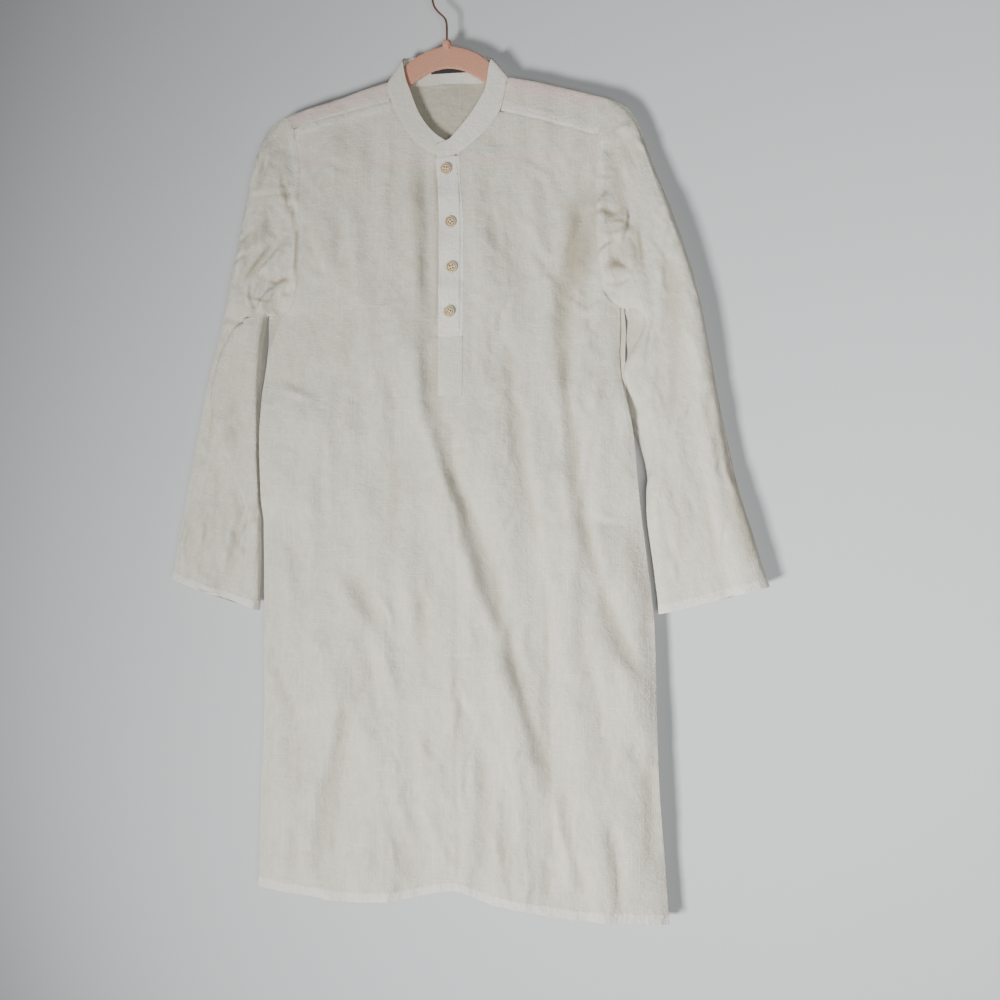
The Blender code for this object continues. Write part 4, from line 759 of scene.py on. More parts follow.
def stitch_rows(name, surface, rows, pitch=STITCH_PITCH):
    """A piece made of stitches along each row: (side, points of x, z)."""
    points, faces = [], []
    for side, path in rows:
        spots = spaced(path, pitch)
        for (ax, az), (bx, bz) in zip(spots, spots[1:]):
            hit, normal = on_surface(surface, (ax + bx) / 2, (az + bz) / 2, side)
            ahead, _ = on_surface(surface, bx, bz, side)
            if hit is None or ahead is None:
                continue
            along = (ahead - hit).normalized()
            across = normal.cross(along).normalized()
            up = along.cross(across)
            start = len(points)
            for px, py, pz in STITCH_POINTS:
                points.append(hit + along * px + across * py + up * (pz + 0.1))
            faces += [tuple(start + i for i in face) for face in STITCH_FACES]
    mesh = bpy.data.meshes.new(name)
    mesh.from_pydata([point * MM for point in points], [], faces)
    piece = bpy.data.objects.new(name, mesh)
    bpy.context.collection.objects.link(piece)
    only(piece)
    bpy.ops.object.shade_smooth()
    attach(piece, "root")
    print(name, len(mesh.polygons), "faces")
    return piece


# %% [markdown]
# ## Where the stitches run
# The hems of the body and the sleeves are turned up and stitched, and so are the edges of the side
# vents. The yoke is topstitched beside its seams, in front and behind.

# %% Stitch paths
HEM_UP, VENT_IN = 12.5, 8.5


def low_edge(piece, columns):
    """The piece's lowest z near each x."""
    x, _, z = coordinates(piece.data).T
    return [(column, z[np.abs(x - column) < 6].min()) for column in columns]


def hem_row(piece, left, right, up):
    """A row of stitches above a piece's lower edge."""
    columns = np.linspace(left, right, 24)
    return [(column, z + up) for column, z in low_edge(piece, columns)]


def side_row(piece, side, bottom, top, inward):
    """A row of stitches beside a piece's left (-1) or right (1) edge."""
    x, _, z = coordinates(piece.data).T
    row = []
    for height in np.arange(bottom, top, 22.0):
        edge = (x[np.abs(z - height) < 8] * side).max() * side
        row.append((edge - side * inward, height))
    return row


body_rows = []
for side, node in ((-1, "front_body"), (1, "back_body")):
    body_rows.append((side, hem_row(cloth[node], -244, 278, HEM_UP)))
    body_rows.append((side, side_row(cloth[node], -1, -1195, -838, VENT_IN)))
    body_rows.append((side, side_row(cloth[node], 1, -1212, -838, VENT_IN)))
BODY_SURFACE = surface_of(cloth["front_body"], cloth["back_body"])
stitches = [stitch_rows("hem_and_vent_stitches", BODY_SURFACE, body_rows)]

CUFFS = {
    "right_sleeve": ((-371, -790.5), (-262, -823)),
    "left_sleeve": ((403, -789.5), (283, -821))}
for node, ends in CUFFS.items():
    rows = [(side, [ends[0], ends[1]]) for side in (-1, 1)]
    stitches.append(stitch_rows(node + "_stitches", surface_of(cloth[node]), rows))

YOKE_ROWS = (
    (-1, ((-78, -158), (-130, -172), (-196, -190))),
    (-1, ((78, -178), (130, -197), (192, -218))),
    (1, ((-194, -232), (0, -232), (192, -232))),
    (1, ((-194, -229), (0, -229), (192, -229))))
stitches.append(stitch_rows("yoke_stitches", surface_of(cloth["yoke"]), YOKE_ROWS))

# %% [markdown]
# ## Buttons
# Each button is a small turned disc: a rounded rim, a dished middle and four holes, with thread
# through them. One is shaped from a cylinder and copied to the other three places.

# %% A button
BUTTON_RADIUS, BUTTON_THICK, RIM, SLOPE, DISH = 7.3, 2.6, 1.3, 0.7, 0.7
ROUNDING = 0.5
HOLE_RADIUS, HOLE_SPREAD, DRILL_LENGTH = 0.85, 1.75, 20.0


def select_faces(mesh, test):
    """In edit mode, selects the faces whose centre and normal pass the test."""
    bpy.ops.mesh.select_all(action="DESELECT")
    net = bmesh.from_edit_mesh(mesh)
    for face in net.faces:
        face.select = test(face.calc_center_median(), face.normal)
    net.select_flush_mode()
    bmesh.update_edit_mesh(mesh)


def turn_button():
    """One button, facing up, with its back at z = 0."""
    bpy.ops.object.select_all(action="DESELECT")
    bpy.ops.mesh.primitive_cylinder_add(vertices=56, radius=BUTTON_RADIUS * MM, depth=BUTTON_THICK * MM,
                                        location=(0, 0, BUTTON_THICK / 2 * MM))
    button = bpy.context.object
    bpy.ops.object.transform_apply(location=True, rotation=False, scale=False)
    bpy.ops.object.mode_set(mode="EDIT")
    select_faces(button.data, lambda centre, normal: normal.z > 0.9)
    bpy.ops.mesh.inset(thickness=RIM * MM)
    bpy.ops.mesh.inset(thickness=SLOPE * MM)
    bpy.ops.transform.translate(value=(0, 0, -DISH * MM))
    bpy.ops.object.mode_set(mode="OBJECT")
    rounding = button.modifiers.new("rounding", "BEVEL")
    rounding.width = ROUNDING * MM
    rounding.segments = 3
    rounding.limit_method = "ANGLE"
    rounding.angle_limit = math.radians(25)
    apply_all(button)
    return button


def drill(button):
    """Cuts the four thread holes."""
    drills = []
    for x in (-HOLE_SPREAD, HOLE_SPREAD):
        for y in (-HOLE_SPREAD, HOLE_SPREAD):
            bpy.ops.object.select_all(action="DESELECT")
            bpy.ops.mesh.primitive_cylinder_add(vertices=20, radius=HOLE_RADIUS * MM,
                                                depth=DRILL_LENGTH * MM,
                                                location=(x * MM, y * MM, 0))
            drills.append(bpy.context.object)
    for bit in drills:
        cut = button.modifiers.new("hole", "BOOLEAN")
        cut.object = bit
        cut.solver = "EXACT"
    apply_all(button)
    for bit in drills:
        bpy.data.objects.remove(bit)


pattern_button = turn_button()
drill(pattern_button)
turned = coordinates(pattern_button.data)
for axis, name in enumerate(("across", "along")):
    kept = pattern_button.data.attributes.new(name, "FLOAT", "POINT")
    kept.data.foreach_set("value", turned[:, axis].astype(np.float32))
only(pattern_button)
bpy.ops.object.shade_smooth_by_angle(angle=math.radians(35))
print("faces in a button:", len(pattern_button.data.polygons))


# %% Thread through a button
STRAND, STRAND_LIFT = 0.42, 0.15            # radius, and how far it stands off the dish
STRAND_TURN, STRAND_DOWN, STRAND_END = 0.2, 0.5, 1.4    # on and down into the hole, then down


def thread_loop(x):
    """A thread that comes up one hole of a button and goes down the next."""
    bpy.ops.object.select_all(action="DESELECT")
    height = BUTTON_THICK - DISH + STRAND_LIFT
    bpy.ops.mesh.primitive_cylinder_add(vertices=10, radius=STRAND * MM, depth=2 * HOLE_SPREAD * MM,
                                        rotation=(math.radians(90), 0, 0),
                                        location=(x * MM, 0, height * MM))
    loop = bpy.context.object
    bpy.ops.object.transform_apply(location=True, rotation=True, scale=False)
    bpy.ops.object.mode_set(mode="EDIT")
    for end in (-1, 1):
        select_faces(loop.data, lambda centre, normal: normal.y * end > 0.9)
        for move in ((0, STRAND_TURN * end * MM, -STRAND_DOWN * MM), (0, 0, -STRAND_END * MM)):
            bpy.ops.mesh.extrude_region_move(TRANSFORM_OT_translate={"value": move})
    bpy.ops.object.mode_set(mode="OBJECT")
    return loop


pattern_threads = [thread_loop(-HOLE_SPREAD), thread_loop(HOLE_SPREAD)]
only(*pattern_threads)
bpy.ops.object.join()
pattern_thread = bpy.context.object
soften = pattern_thread.modifiers.new("soft", "SUBSURF")
soften.levels = soften.render_levels = 1
apply_all(pattern_thread)
bpy.ops.object.shade_smooth()
print("faces in its thread:", len(pattern_thread.data.polygons))

# %% [markdown]
# ## Sewing the buttons on
# A button sits on the strip, over its buttonhole. It lies as the strip does, so each copy is laid
# on the strip's front, tipped a hair its own way, with its thread.

# %% Place the buttons
BUTTON_SPOTS = ((0.5, -258), (7, -328), (9, -387), (6.5, -445))
BUTTON_TIPS = ((3, -2, 8), (-2, 2, 40), (2, 2, -14), (-1, -3, 25))      # degrees
BUTTON_STANDS = 0.25            # between a button's back and the strip
STRIP_SURFACE = surface_of(cloth["placket_strip"])
buttons = []
for number, ((x, z), tips) in enumerate(zip(BUTTON_SPOTS, BUTTON_TIPS), 1):
    seat, _ = on_surface(STRIP_SURFACE, x, z, -1)
    for pattern, name in ((pattern_button, "button_disc_%d"), (pattern_thread, "button_thread_%d")):
        copy = bpy.data.objects.new(name % number, pattern.data.copy())
        bpy.context.collection.objects.link(copy)
        copy.location = (x * MM, (seat.y - BUTTON_STANDS) * MM, z * MM)
        copy.rotation_euler = [math.radians(angle) for angle in (90 + tips[0], tips[2], tips[1])]
        only(copy)
        bpy.ops.object.transform_apply(location=True, rotation=True, scale=True)
        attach(copy, "root")
        buttons.append(copy)
    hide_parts(f"button_{number}")
for pattern in (pattern_button, pattern_thread):
    bpy.data.objects.remove(pattern)
print("buttons:", len(BUTTON_SPOTS))

# %% [markdown]
# ## Buttonholes and the strip's stitching
# The placket strip is stitched down both of its long edges, and its base round three sides and
# twice across. Each buttonhole is an upright slit, bound with close satin stitches, and its two
# ends just show above and below the button.

# %% Placket stitching
STRIP_LEFT = ((-11, -246), (-9.5, -262), (-6.5, -284), (-5.8, -330), (-5.6, -400), (-5.6, -474))
STRIP_RIGHT = ((17.5, -246), (19, -262), (21, -284), (21.3, -330), (21.3, -400), (21.3, -474))
BASE_BOX = ((-5.8, -480), (-5.8, -549), (21.2, -549), (21.2, -480))
placket_rows = [
    (-1, STRIP_LEFT), (-1, STRIP_RIGHT),
    (-1, BASE_BOX[:2]), (-1, BASE_BOX[1:3]), (-1, BASE_BOX[2:]),
    (-1, ((-6, -503), (21, -503))), (-1, ((-6, -509.5), (21, -509.5)))]
PLACKET_SURFACE = surface_of(cloth["placket_strip"], cloth["placket_base"])
stitches.append(stitch_rows("placket_stitches", PLACKET_SURFACE, placket_rows, pitch=2.5))

HOLE_HALF = 9.6                 # half of a buttonhole's length
buttonholes = []
for x, z in BUTTON_SPOTS:
    for edge in (-0.75, 0.75):
        buttonholes.append((-1, ((x + edge, z - HOLE_HALF), (x + edge, z + HOLE_HALF))))
stitches.append(stitch_rows("buttonhole_stitches", STRIP_SURFACE, buttonholes, pitch=1.0))

# %% [markdown]
# ## The label in the neck
# A small tape with no writing is sewn into the back of the neck. It lies on the yoke, a little
# bowed, and its face is ribbed by the weave.

# %% Label
LABEL_NODE = "neck_label"
label = fine_copy(LABEL_NODE, "neck_label_tape", levels=4, even=False)
points = coordinates(label.data)
middle = points.mean(axis=0)
LABEL_HALF, LABEL_BOW, RIB_HEIGHT, RIB_PACE = 26, 0.5, 0.12, 2.1
bow = (points[:, 0] - middle[0]) / LABEL_HALF
points[:, 1] -= LABEL_BOW * np.cos(bow * math.pi / 2) + RIB_HEIGHT * np.sin(points[:, 2] * RIB_PACE)
set_coordinates(label.data, points)
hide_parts(LABEL_NODE)
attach(label, "root")
print("label", len(label.data.polygons), "faces")

# %% [markdown]
# ## The hanger
# The hanger is moulded, slim and covered in velvet flock, with a wire hook set in its nub. Their
# solids have the right shape, so they stay as they are under fine copies with rounded edges.

# %% Hanger and hook
hanger = fine_copy("hanger", "hanger_velvet", levels=2, even=False)
hook = fine_copy("hook", "hook_wire", levels=2, even=False)
for piece, node, slot in ((hanger, "hanger", "velvet"), (hook, "hook", "wire")):
    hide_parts(node)
    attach(piece, "root")
    print(piece.name, len(piece.data.polygons), "faces")

# %% [markdown]
# ## What shows through
# Pale linen is thin. Where the pink hanger lies close behind it, it blushes, and where it lies on a
# pocket bag or on its own turned hem it looks fuller and whiter. Rays look from each point of the
# cloth towards what lies behind. Deep in a fold, under the arms and inside the neck, shade is
# painted into the cloth. The three answers become attributes that the linen's material reads.

# %% Look behind the cloth
BLUSH_REACH, FULL_REACH = 14.0, 9.0         # how near a thing has to be to show through
JITTER = ((0, 0), (3.2, 1.2), (-2.6, 2.8), (1.4, -3.4), (-3.0, -2.0))


def seen_behind(points, surface, reach):
    """For each point, 0 to 1: how near this surface lies behind it, seen along y."""
    seen = np.zeros(len(points))
    for index, (x, y, z) in enumerate(points):
        inward = 1 if y < 0 else -1
        for dx, dz in JITTER:
            distance = surface.ray_cast(Vector((x + dx, y, z + dz)), Vector((0, inward, 0)), reach)[3]
            if distance is not None:
                seen[index] += max(0.0, 1 - distance / reach) / len(JITTER)
    return seen


def keep_attribute(piece, name, values):
    """Stores one number for each point of a piece."""
    attribute = piece.data.attributes.get(name) or piece.data.attributes.new(name, "FLOAT", "POINT")
    attribute.data.foreach_set("value", values.astype(np.float32))


FRONT_DIMS_AT, BACK_DIMS_AT = 3, 8      # the summed crease height at which the painted shade is full
# how strong the painted shade is in the front's shade strips, inside the neck and under the arms
SHADE_GAIN, NECK_DIM, UNDERARM_DIM = 1.5, 0.55, 0.3
COLLAR_DIM = 0.3                # painted shade on the collar's left half
# an even painted shade on each piece of the placket
PLACKET_DIMS = {"placket_strip": 0.0, "placket_base": 0.15, "under_placket": 0.15}


def hollows(points, normals):
    """0 to 1: how much shade is painted on the cloth, deep in a fold, in the shade strips, under the arms and
    inside the neck; normals are along y.
    """
    x, y, z = points.T
    shades = [("ridge", *row) for row in FRONT_SHADES]
    front = crease_heights(FRONT_CREASES + FRONT_SHORT + SLEEVE_FRONT, x, z)
    back = crease_heights(BACK_CREASES + SLEEVE_BACK, x, z)
    painted_shade = np.maximum(-front / FRONT_DIMS_AT, SHADE_GAIN * crease_heights(shades, x, z))
    # painted shade inside the neck and on the inner face of the rear layer under the arms
    inside = NECK_DIM * ease((z + 340) / 60) * ease((95 - np.abs(x)) / 20) * (normals < -0.3)
    underarm = ease((np.abs(x) - 195) / 20) * ease(1 - np.abs(z + 475) / 110)
    inside += UNDERARM_DIM * underarm * (normals < -0.2)
    return np.clip(np.where(y < 0, painted_shade, np.maximum(-back / BACK_DIMS_AT, inside)), 0, 1)


BODY_SIDES = {"front_body", "back_body", "yoke"}
HANGER_SURFACE = surface_of(hanger)
BAG_SURFACE = surface_of(cloth["right_pocket_bag"], cloth["left_pocket_bag"])

# %% Fullness
CUFF_REGION, HEM_REGION = -760, -1150       # hems are looked for below these
ALLOWANCE_FULL, POCKET_FULL = 0.8, 0.3


def fullness(piece, points):
    """0 to 1: where the cloth lies double over a hem, an allowance or a pocket."""
    x, y, z = points.T
    full = np.zeros(len(points))
    for side, line in SEAM_LINES:
        near = (y < 0) & (z > SEAMS_LOW)
        off, along, length = beside(line, x[near], z[near])
        inside = (off * side > 0.4) & (off * side < ALLOWANCE) & (along > 0) & (along < length)
        full[near] = np.maximum(full[near], np.where(inside, ALLOWANCE_FULL, 0.0))
    if "sleeve" in piece.name or piece.name in ("front_cloth", "back_cloth"):
        low = z < (CUFF_REGION if "sleeve" in piece.name else HEM_REGION)
        columns = np.linspace(x[low].min() + 3, x[low].max() - 3, 40)
        edge = np.interp(x, columns, [pair[1] for pair in low_edge(piece, columns)])
        full[low] = np.maximum(full[low], ease((edge[low] + HEM_UP + 1 - z[low]) / 2))
    if piece.name == "front_cloth":
        near = np.flatnonzero((z < -525) & (z > -725) & (np.abs(x) > 140))
        bag = seen_behind(points[near], BAG_SURFACE, FULL_REACH)
        full[near] = np.maximum(full[near], POCKET_FULL * ease(2 * bag))
    return full


for node, piece in cloth.items():
    points = coordinates(piece.data)
    blush = np.zeros(len(points))
    if node in BODY_SIDES:
        high = np.flatnonzero(points[:, 2] > -268)
        blush[high] = seen_behind(points[high], HANGER_SURFACE, BLUSH_REACH)
    keep_attribute(piece, "blush", blush)
    keep_attribute(piece, "full", fullness(piece, points))
    normals = np.zeros(3 * len(points))
    piece.data.vertices.foreach_get("normal", normals)
    painted_shade = hollows(points, normals[1::3])
    # the collar's left half and the placket pieces take their own painted shade
    if node == "collar_band":
        painted_shade = COLLAR_DIM * ease((10 - points[:, 0]) / 30) * (normals[1::3] < 0.2)
    elif node in PLACKET_DIMS:
        painted_shade = np.full(len(points), PLACKET_DIMS[node])
    keep_attribute(piece, "painted_shade", painted_shade)
    print(node, "blush", round(float(blush.max()), 2))

# %% [markdown]
# ## Node helpers
# A material is a small graph. Each call below adds one node, sets it, and wires its inputs from
# numbers, colours or the outputs of other nodes, in order.

# %% Node helpers
def add(tree, kind, wires=(), **settings):
    """Adds a node, sets its options and wires its inputs; None leaves an input as it is."""
    made = tree.nodes.new(kind)
    for name, value in settings.items():
        setattr(made, name, value)
    for socket, wire in zip(made.inputs, wires):
        if isinstance(wire, bpy.types.NodeSocket):
            tree.links.new(wire, socket)
        elif wire is not None:
            socket.default_value = wire
    return made


def math_node(tree, operation, *wires):
    """The result of one sum."""
    return add(tree, "ShaderNodeMath", wires, operation=operation).outputs[0]


def blend_colour(tree, share, first, second, way="MIX"):
    """Two colours mixed."""
    mixed = add(tree, "ShaderNodeMix", data_type="RGBA", blend_type=way)
    for index, wire in ((0, share), (6, first), (7, second)):
        if isinstance(wire, bpy.types.NodeSocket):
            tree.links.new(wire, mixed.inputs[index])
        else:
            mixed.inputs[index].default_value = wire
    return mixed.outputs[2]


def noise(tree, vector, scale, detail=2.0, roughness=0.5):
    """Soft noise between 0 and 1."""
    made = add(tree, "ShaderNodeTexNoise")
    tree.links.new(vector, made.inputs["Vector"])
    for name, value in (("Scale", scale), ("Detail", detail), ("Roughness", roughness)):
        made.inputs[name].default_value = value
    return made.outputs[0]


def stretched(tree, vector, scales):
    """Coordinates multiplied by one number for each axis."""
    return add(tree, "ShaderNodeVectorMath", (vector, scales), operation="MULTIPLY").outputs[0]


def ramp(tree, value, low, high):
    """0 below low and 1 above high, with a soft step between."""
    made = add(tree, "ShaderNodeMapRange", (value, low, high, 0.0, 1.0), interpolation_type="SMOOTHSTEP")
    return made.outputs[0]


def add_bump(tree, shader, height, strength, depth):
    """Raises a shader's surface by a height, with depth in millimetres."""
    bump = add(tree, "ShaderNodeBump")
    bump.inputs["Strength"].default_value = strength
    bump.inputs["Distance"].default_value = depth * MM
    tree.links.new(height, bump.inputs["Height"])
    tree.links.new(bump.outputs[0], shader.inputs["Normal"])


def new_group(name, inputs, outputs):
    """An empty node group with named sockets, its input node and its output node."""
    group = bpy.data.node_groups.new(name, "ShaderNodeTree")
    for label_text, kind, value in inputs:
        socket = group.interface.new_socket(label_text, in_out="INPUT", socket_type=kind)
        if value is not None:
            socket.default_value = value
    for label_text in outputs:
        group.interface.new_socket(label_text, in_out="OUTPUT", socket_type="NodeSocketFloat")
    return group, group.nodes.new("NodeGroupInput"), group.nodes.new("NodeGroupOutput")


# %% [markdown]
# ## Linen, thread by thread
# Linen is a plain weave: each thread goes over one and under the next. Its yarn is uneven, so long
# thick places, called slubs, run along single threads both ways. The group draws the threads, the
# slubs and the soft dents of washing, and turns them with the grain of each cut piece.

# %% The weave group
weave, weave_in, weave_out = new_group(
    "linen_weave",
    (("Place", "NodeSocketVector", None), ("Grain turn", "NodeSocketFloat", 0.0),
     ("Threads per metre", "NodeSocketFloat", 1150.0)),
    ("Threads", "Slubs", "Dents", "Mottle"))


def build_weave(tree, entry, leave):
    """Wires the weave group."""
    place, turn, pace = entry.outputs[:3]
    turned = add(tree, "ShaderNodeVectorRotate", (place, (0, 0, 0), (0, 1, 0), turn),
                 rotation_type="AXIS_ANGLE")
    grain = turned.outputs[0]
    split = add(tree, "ShaderNodeSeparateXYZ", (grain,))
    drift = noise(tree, grain, 55.0, 2.0)
    waves_of = []
    for axis in (0, 2):
        thread = math_node(tree, "MULTIPLY_ADD", split.outputs[axis], pace,
                           math_node(tree, "MULTIPLY", drift, 2.4))
        waves_of.append(math_node(tree, "SINE", math_node(tree, "MULTIPLY", thread, math.pi)))
    over = ramp(tree, math_node(tree, "MULTIPLY", *waves_of), -0.25, 0.25)
    warp, weft = (math_node(tree, "ABSOLUTE", wave) for wave in waves_of)
    rise = math_node(tree, "SUBTRACT", warp, weft)
    threads = math_node(tree, "MULTIPLY_ADD", over, rise, weft)
    down = ramp(tree, noise(tree, stretched(tree, grain, (620, 90, 17)), 1.0, 1.0), 0.56, 0.74)
    across = ramp(tree, noise(tree, stretched(tree, grain, (21, 90, 640)), 1.0, 1.0), 0.57, 0.75)
    slubs = math_node(tree, "MAXIMUM", down, across)
    soft = noise(tree, grain, 85.0, 4.0, 0.62)
    sharp = math_node(tree, "ABSOLUTE", math_node(tree, "SUBTRACT", noise(tree, grain, 150.0, 3.0), 0.5))
    dents = math_node(tree, "ADD", soft, math_node(tree, "MULTIPLY", sharp, 0.9))
    mottle = noise(tree, stretched(tree, grain, (150, 150, 60)), 1.0, 4.0, 0.65)
    for index, result in enumerate((threads, slubs, dents, mottle)):
        tree.links.new(result, leave.inputs[index])


build_weave(weave, weave_in, weave_out)
print("nodes in the weave:", len(weave.nodes))


# %% [markdown]
# ## The linen's finish
# The cloth is ivory, with patches a little warmer and slubs a little paler. Where it is double it
# is whiter and over the hanger it blushes. Shade is painted into it, darker deep in folds, beside
# the placket, under the arms and inside the neck. It hardly shines. Its bump comes from the threads,
# the slubs, the dents and the gathers along its doubled edges.

# %% Linen
IVORY, SLUB_TONE, HOLLOW = (0.63, 0.60, 0.51, 1), (0.68, 0.655, 0.58, 1), (0.56, 0.53, 0.425, 1)
FULL_TONE, BLUSH_TONE = (0.76, 0.74, 0.66, 1), (0.68, 0.51, 0.48, 1)
PAINTED_SHADE_TONE = (0.46, 0.40, 0.29, 1)           # painted shade: the bottoms of creases and the shaded strips are multiplied by this


def plain_material(name):
    """A material with a shader, its tree and the shader's node."""
    material = bpy.data.materials.new(name)
    material.use_nodes = True
    tree = material.node_tree
    return material, tree, tree.nodes["Principled BSDF"]


def set_shader(shader, **values):
    """Sets the shader's own sockets; a double underscore stands for a space."""
    for name, value in values.items():
        shader.inputs[name.replace("_", " ")].default_value = value


def linen(name, turn, pale, threads):
    """Ivory linen whose grain is turned by some degrees; pale lifts it towards the doubled tone."""
    material, tree, shader = plain_material(name)
    place = add(tree, "ShaderNodeTexCoord").outputs["Object"]
    cloth_weave = add(tree, "ShaderNodeGroup", node_tree=weave)
    tree.links.new(place, cloth_weave.inputs["Place"])
    cloth_weave.inputs["Grain turn"].default_value = math.radians(turn)
    cloth_weave.inputs["Threads per metre"].default_value = threads
    thread_rise, slubs, dents, mottle = cloth_weave.outputs[:4]
    full = add(tree, "ShaderNodeAttribute", attribute_name="full").outputs["Fac"]
    blush = add(tree, "ShaderNodeAttribute", attribute_name="blush").outputs["Fac"]
    colour = blend_colour(tree, ramp(tree, mottle, 0.34, 0.66), HOLLOW, IVORY)
    colour = blend_colour(tree, math_node(tree, "MULTIPLY", thread_rise, 0.35), colour, IVORY)
    colour = blend_colour(tree, math_node(tree, "MULTIPLY", slubs, 0.7), colour, SLUB_TONE)
    fuller = math_node(tree, "MAXIMUM", math_node(tree, "MULTIPLY", full, 0.6), pale)
    colour = blend_colour(tree, fuller, colour, FULL_TONE)
    colour = blend_colour(tree, math_node(tree, "MULTIPLY", blush, 0.8), colour, BLUSH_TONE)
    # painted shade: the colour is multiplied down by the painted_shade attribute
    painted_shade = add(tree, "ShaderNodeAttribute", attribute_name="painted_shade").outputs["Fac"]
    colour = blend_colour(tree, math_node(tree, "MULTIPLY", painted_shade, 0.8), colour, PAINTED_SHADE_TONE, "MULTIPLY")
    tree.links.new(colour, shader.inputs["Base Color"])
    rough = math_node(tree, "MULTIPLY_ADD", mottle, -0.12, 0.96)
    tree.links.new(rough, shader.inputs["Roughness"])
    height = math_node(tree, "MULTIPLY_ADD", slubs, 0.9, thread_rise)
    height = math_node(tree, "MULTIPLY_ADD", dents, 9.0, height)
    gathers = math_node(tree, "SUBTRACT", noise(tree, stretched(tree, place, (170, 60, 60)), 1.0, 2.0), 0.5)
    height = math_node(tree, "MULTIPLY_ADD", math_node(tree, "MULTIPLY", gathers, full), 10.0, height)
    add_bump(tree, shader, height, 0.8, 0.22)
    set_shader(shader, Sheen_Weight=0.12, Sheen_Roughness=0.6, Specular_IOR_Level=0.25)
    return material


def finish_with(material, *painted):
    """Gives these pieces one material."""
    for piece in painted:
        piece.data.materials.clear()
        piece.data.materials.append(material)


LINENS = (
    # material, grain turned by, how pale, threads to the metre, nodes that it covers
    ("body_linen", 0, 0.0, 1150, ("front_body", "back_body", "right_pocket_bag", "left_pocket_bag")),
    ("yoke_linen", 90, 0.0, 1150, ("yoke",)),
    ("right_sleeve_linen", -14, 0.0, 1150, ("right_sleeve",)),
    ("left_sleeve_linen", 18, 0.0, 1150, ("left_sleeve",)),
    ("collar_linen", 90, 0.7, 1250, ("collar_band",)),
    ("strip_linen", 0, 0.95, 1250, ("placket_strip",)),
    ("placket_linen", 0, 0.5, 1250, ("placket_base", "under_placket")))
for name, turn, pale, threads, nodes in LINENS:
    finish_with(linen(name, turn, pale, threads), *[cloth[node] for node in nodes])

# %% [markdown]
# ## Thread, horn, tape, flock and wire
# Sewing thread is two plies twisted together. Horn is cloudy, with long darker streaks. The label's
# tape is ribbed. The hanger's flock is matt, with a nap that has been brushed here and there, and
# the hook is plated and polished, with fine scratches.

# %% Sewing thread
def streaked(name, light, dark, scales, low, high, bump_height, shine, detail=2.0):
    """A material of two tones in streaks, with the same streaks in its bump and its shine."""
    material, tree, shader = plain_material(name)
    place = add(tree, "ShaderNodeTexCoord").outputs["Object"]
    streaks = noise(tree, stretched(tree, place, scales), 1.0, detail, 0.6)
    share = ramp(tree, streaks, low, high)
    tree.links.new(blend_colour(tree, share, light, dark), shader.inputs["Base Color"])
    tree.links.new(math_node(tree, "MULTIPLY_ADD", streaks, shine[1] - shine[0], shine[0]),
                   shader.inputs["Roughness"])
    add_bump(tree, shader, streaks, 0.7, bump_height)
    return material, tree, shader


thread, _, thread_shader = streaked("sewing_thread", (0.80, 0.78, 0.71, 1), (0.66, 0.63, 0.54, 1),
                                    (2600, 2600, 1500), 0.3, 0.7, 0.1, (0.7, 0.85))
set_shader(thread_shader, Sheen_Weight=0.2)
finish_with(thread, *stitches)
brown_thread, _, _ = streaked("button_thread", (0.62, 0.55, 0.42, 1), (0.42, 0.34, 0.22, 1),
                              (3000, 3000, 3000), 0.3, 0.7, 0.1, (0.65, 0.8))
finish_with(brown_thread, *[piece for piece in buttons if piece.name.startswith("button_thread")])

# %% Horn
horn, horn_tree, horn_shader = streaked("pale_horn", (0.74, 0.60, 0.36, 1), (0.50, 0.36, 0.17, 1),
                                        (160, 160, 420), 0.42, 0.72, 0.05, (0.28, 0.42), 4.0)
set_shader(horn_shader, Coat_Weight=0.15, Coat_Roughness=0.2)


def distance_of(tree, first, second):
    """How far off a point is that lies this far along two axes."""
    squares = [math_node(tree, "MULTIPLY", side, side) for side in (first, second)]
    return math_node(tree, "SQRT", math_node(tree, "ADD", *squares))


GROOVE_OUT, GROOVE_IN = (4.2, 5.0), (6.3, 5.6)      # radii between which the painted shade of the groove darkens and clears
# painted shade on the outer edge and in the holes, and the colour of that shade
EDGE_DARK, HOLE_DARK = (6.7, 7.2), (1.45, 0.9)
BUTTON_SHADE_TONE = (0.075, 0.042, 0.018, 1)


def burn_grooves(tree, shader):
    """Paints shade into a button's turned groove, its outer edge and its holes."""
    sides = [add(tree, "ShaderNodeAttribute", attribute_name=name).outputs["Fac"]
             for name in ("across", "along")]
    radius = distance_of(tree, *sides)
    to_hole = [math_node(tree, "SUBTRACT", math_node(tree, "ABSOLUTE", side), HOLE_SPREAD)
               for side in sides]
    groove = math_node(tree, "MULTIPLY", ramp(tree, radius, *GROOVE_OUT), ramp(tree, radius, *GROOVE_IN))
    button_shade = math_node(tree, "MAXIMUM", math_node(tree, "MULTIPLY", groove, 0.75),
                      math_node(tree, "MULTIPLY", ramp(tree, radius, *EDGE_DARK), 0.7))
    button_shade = math_node(tree, "MAXIMUM", button_shade, ramp(tree, distance_of(tree, *to_hole), *HOLE_DARK))
    plain = shader.inputs["Base Color"].links[0].from_socket
    tree.links.new(blend_colour(tree, button_shade, plain, BUTTON_SHADE_TONE), shader.inputs["Base Color"])


burn_grooves(horn_tree, horn_shader)
finish_with(horn, *[piece for piece in buttons if piece.name.startswith("button_disc")])

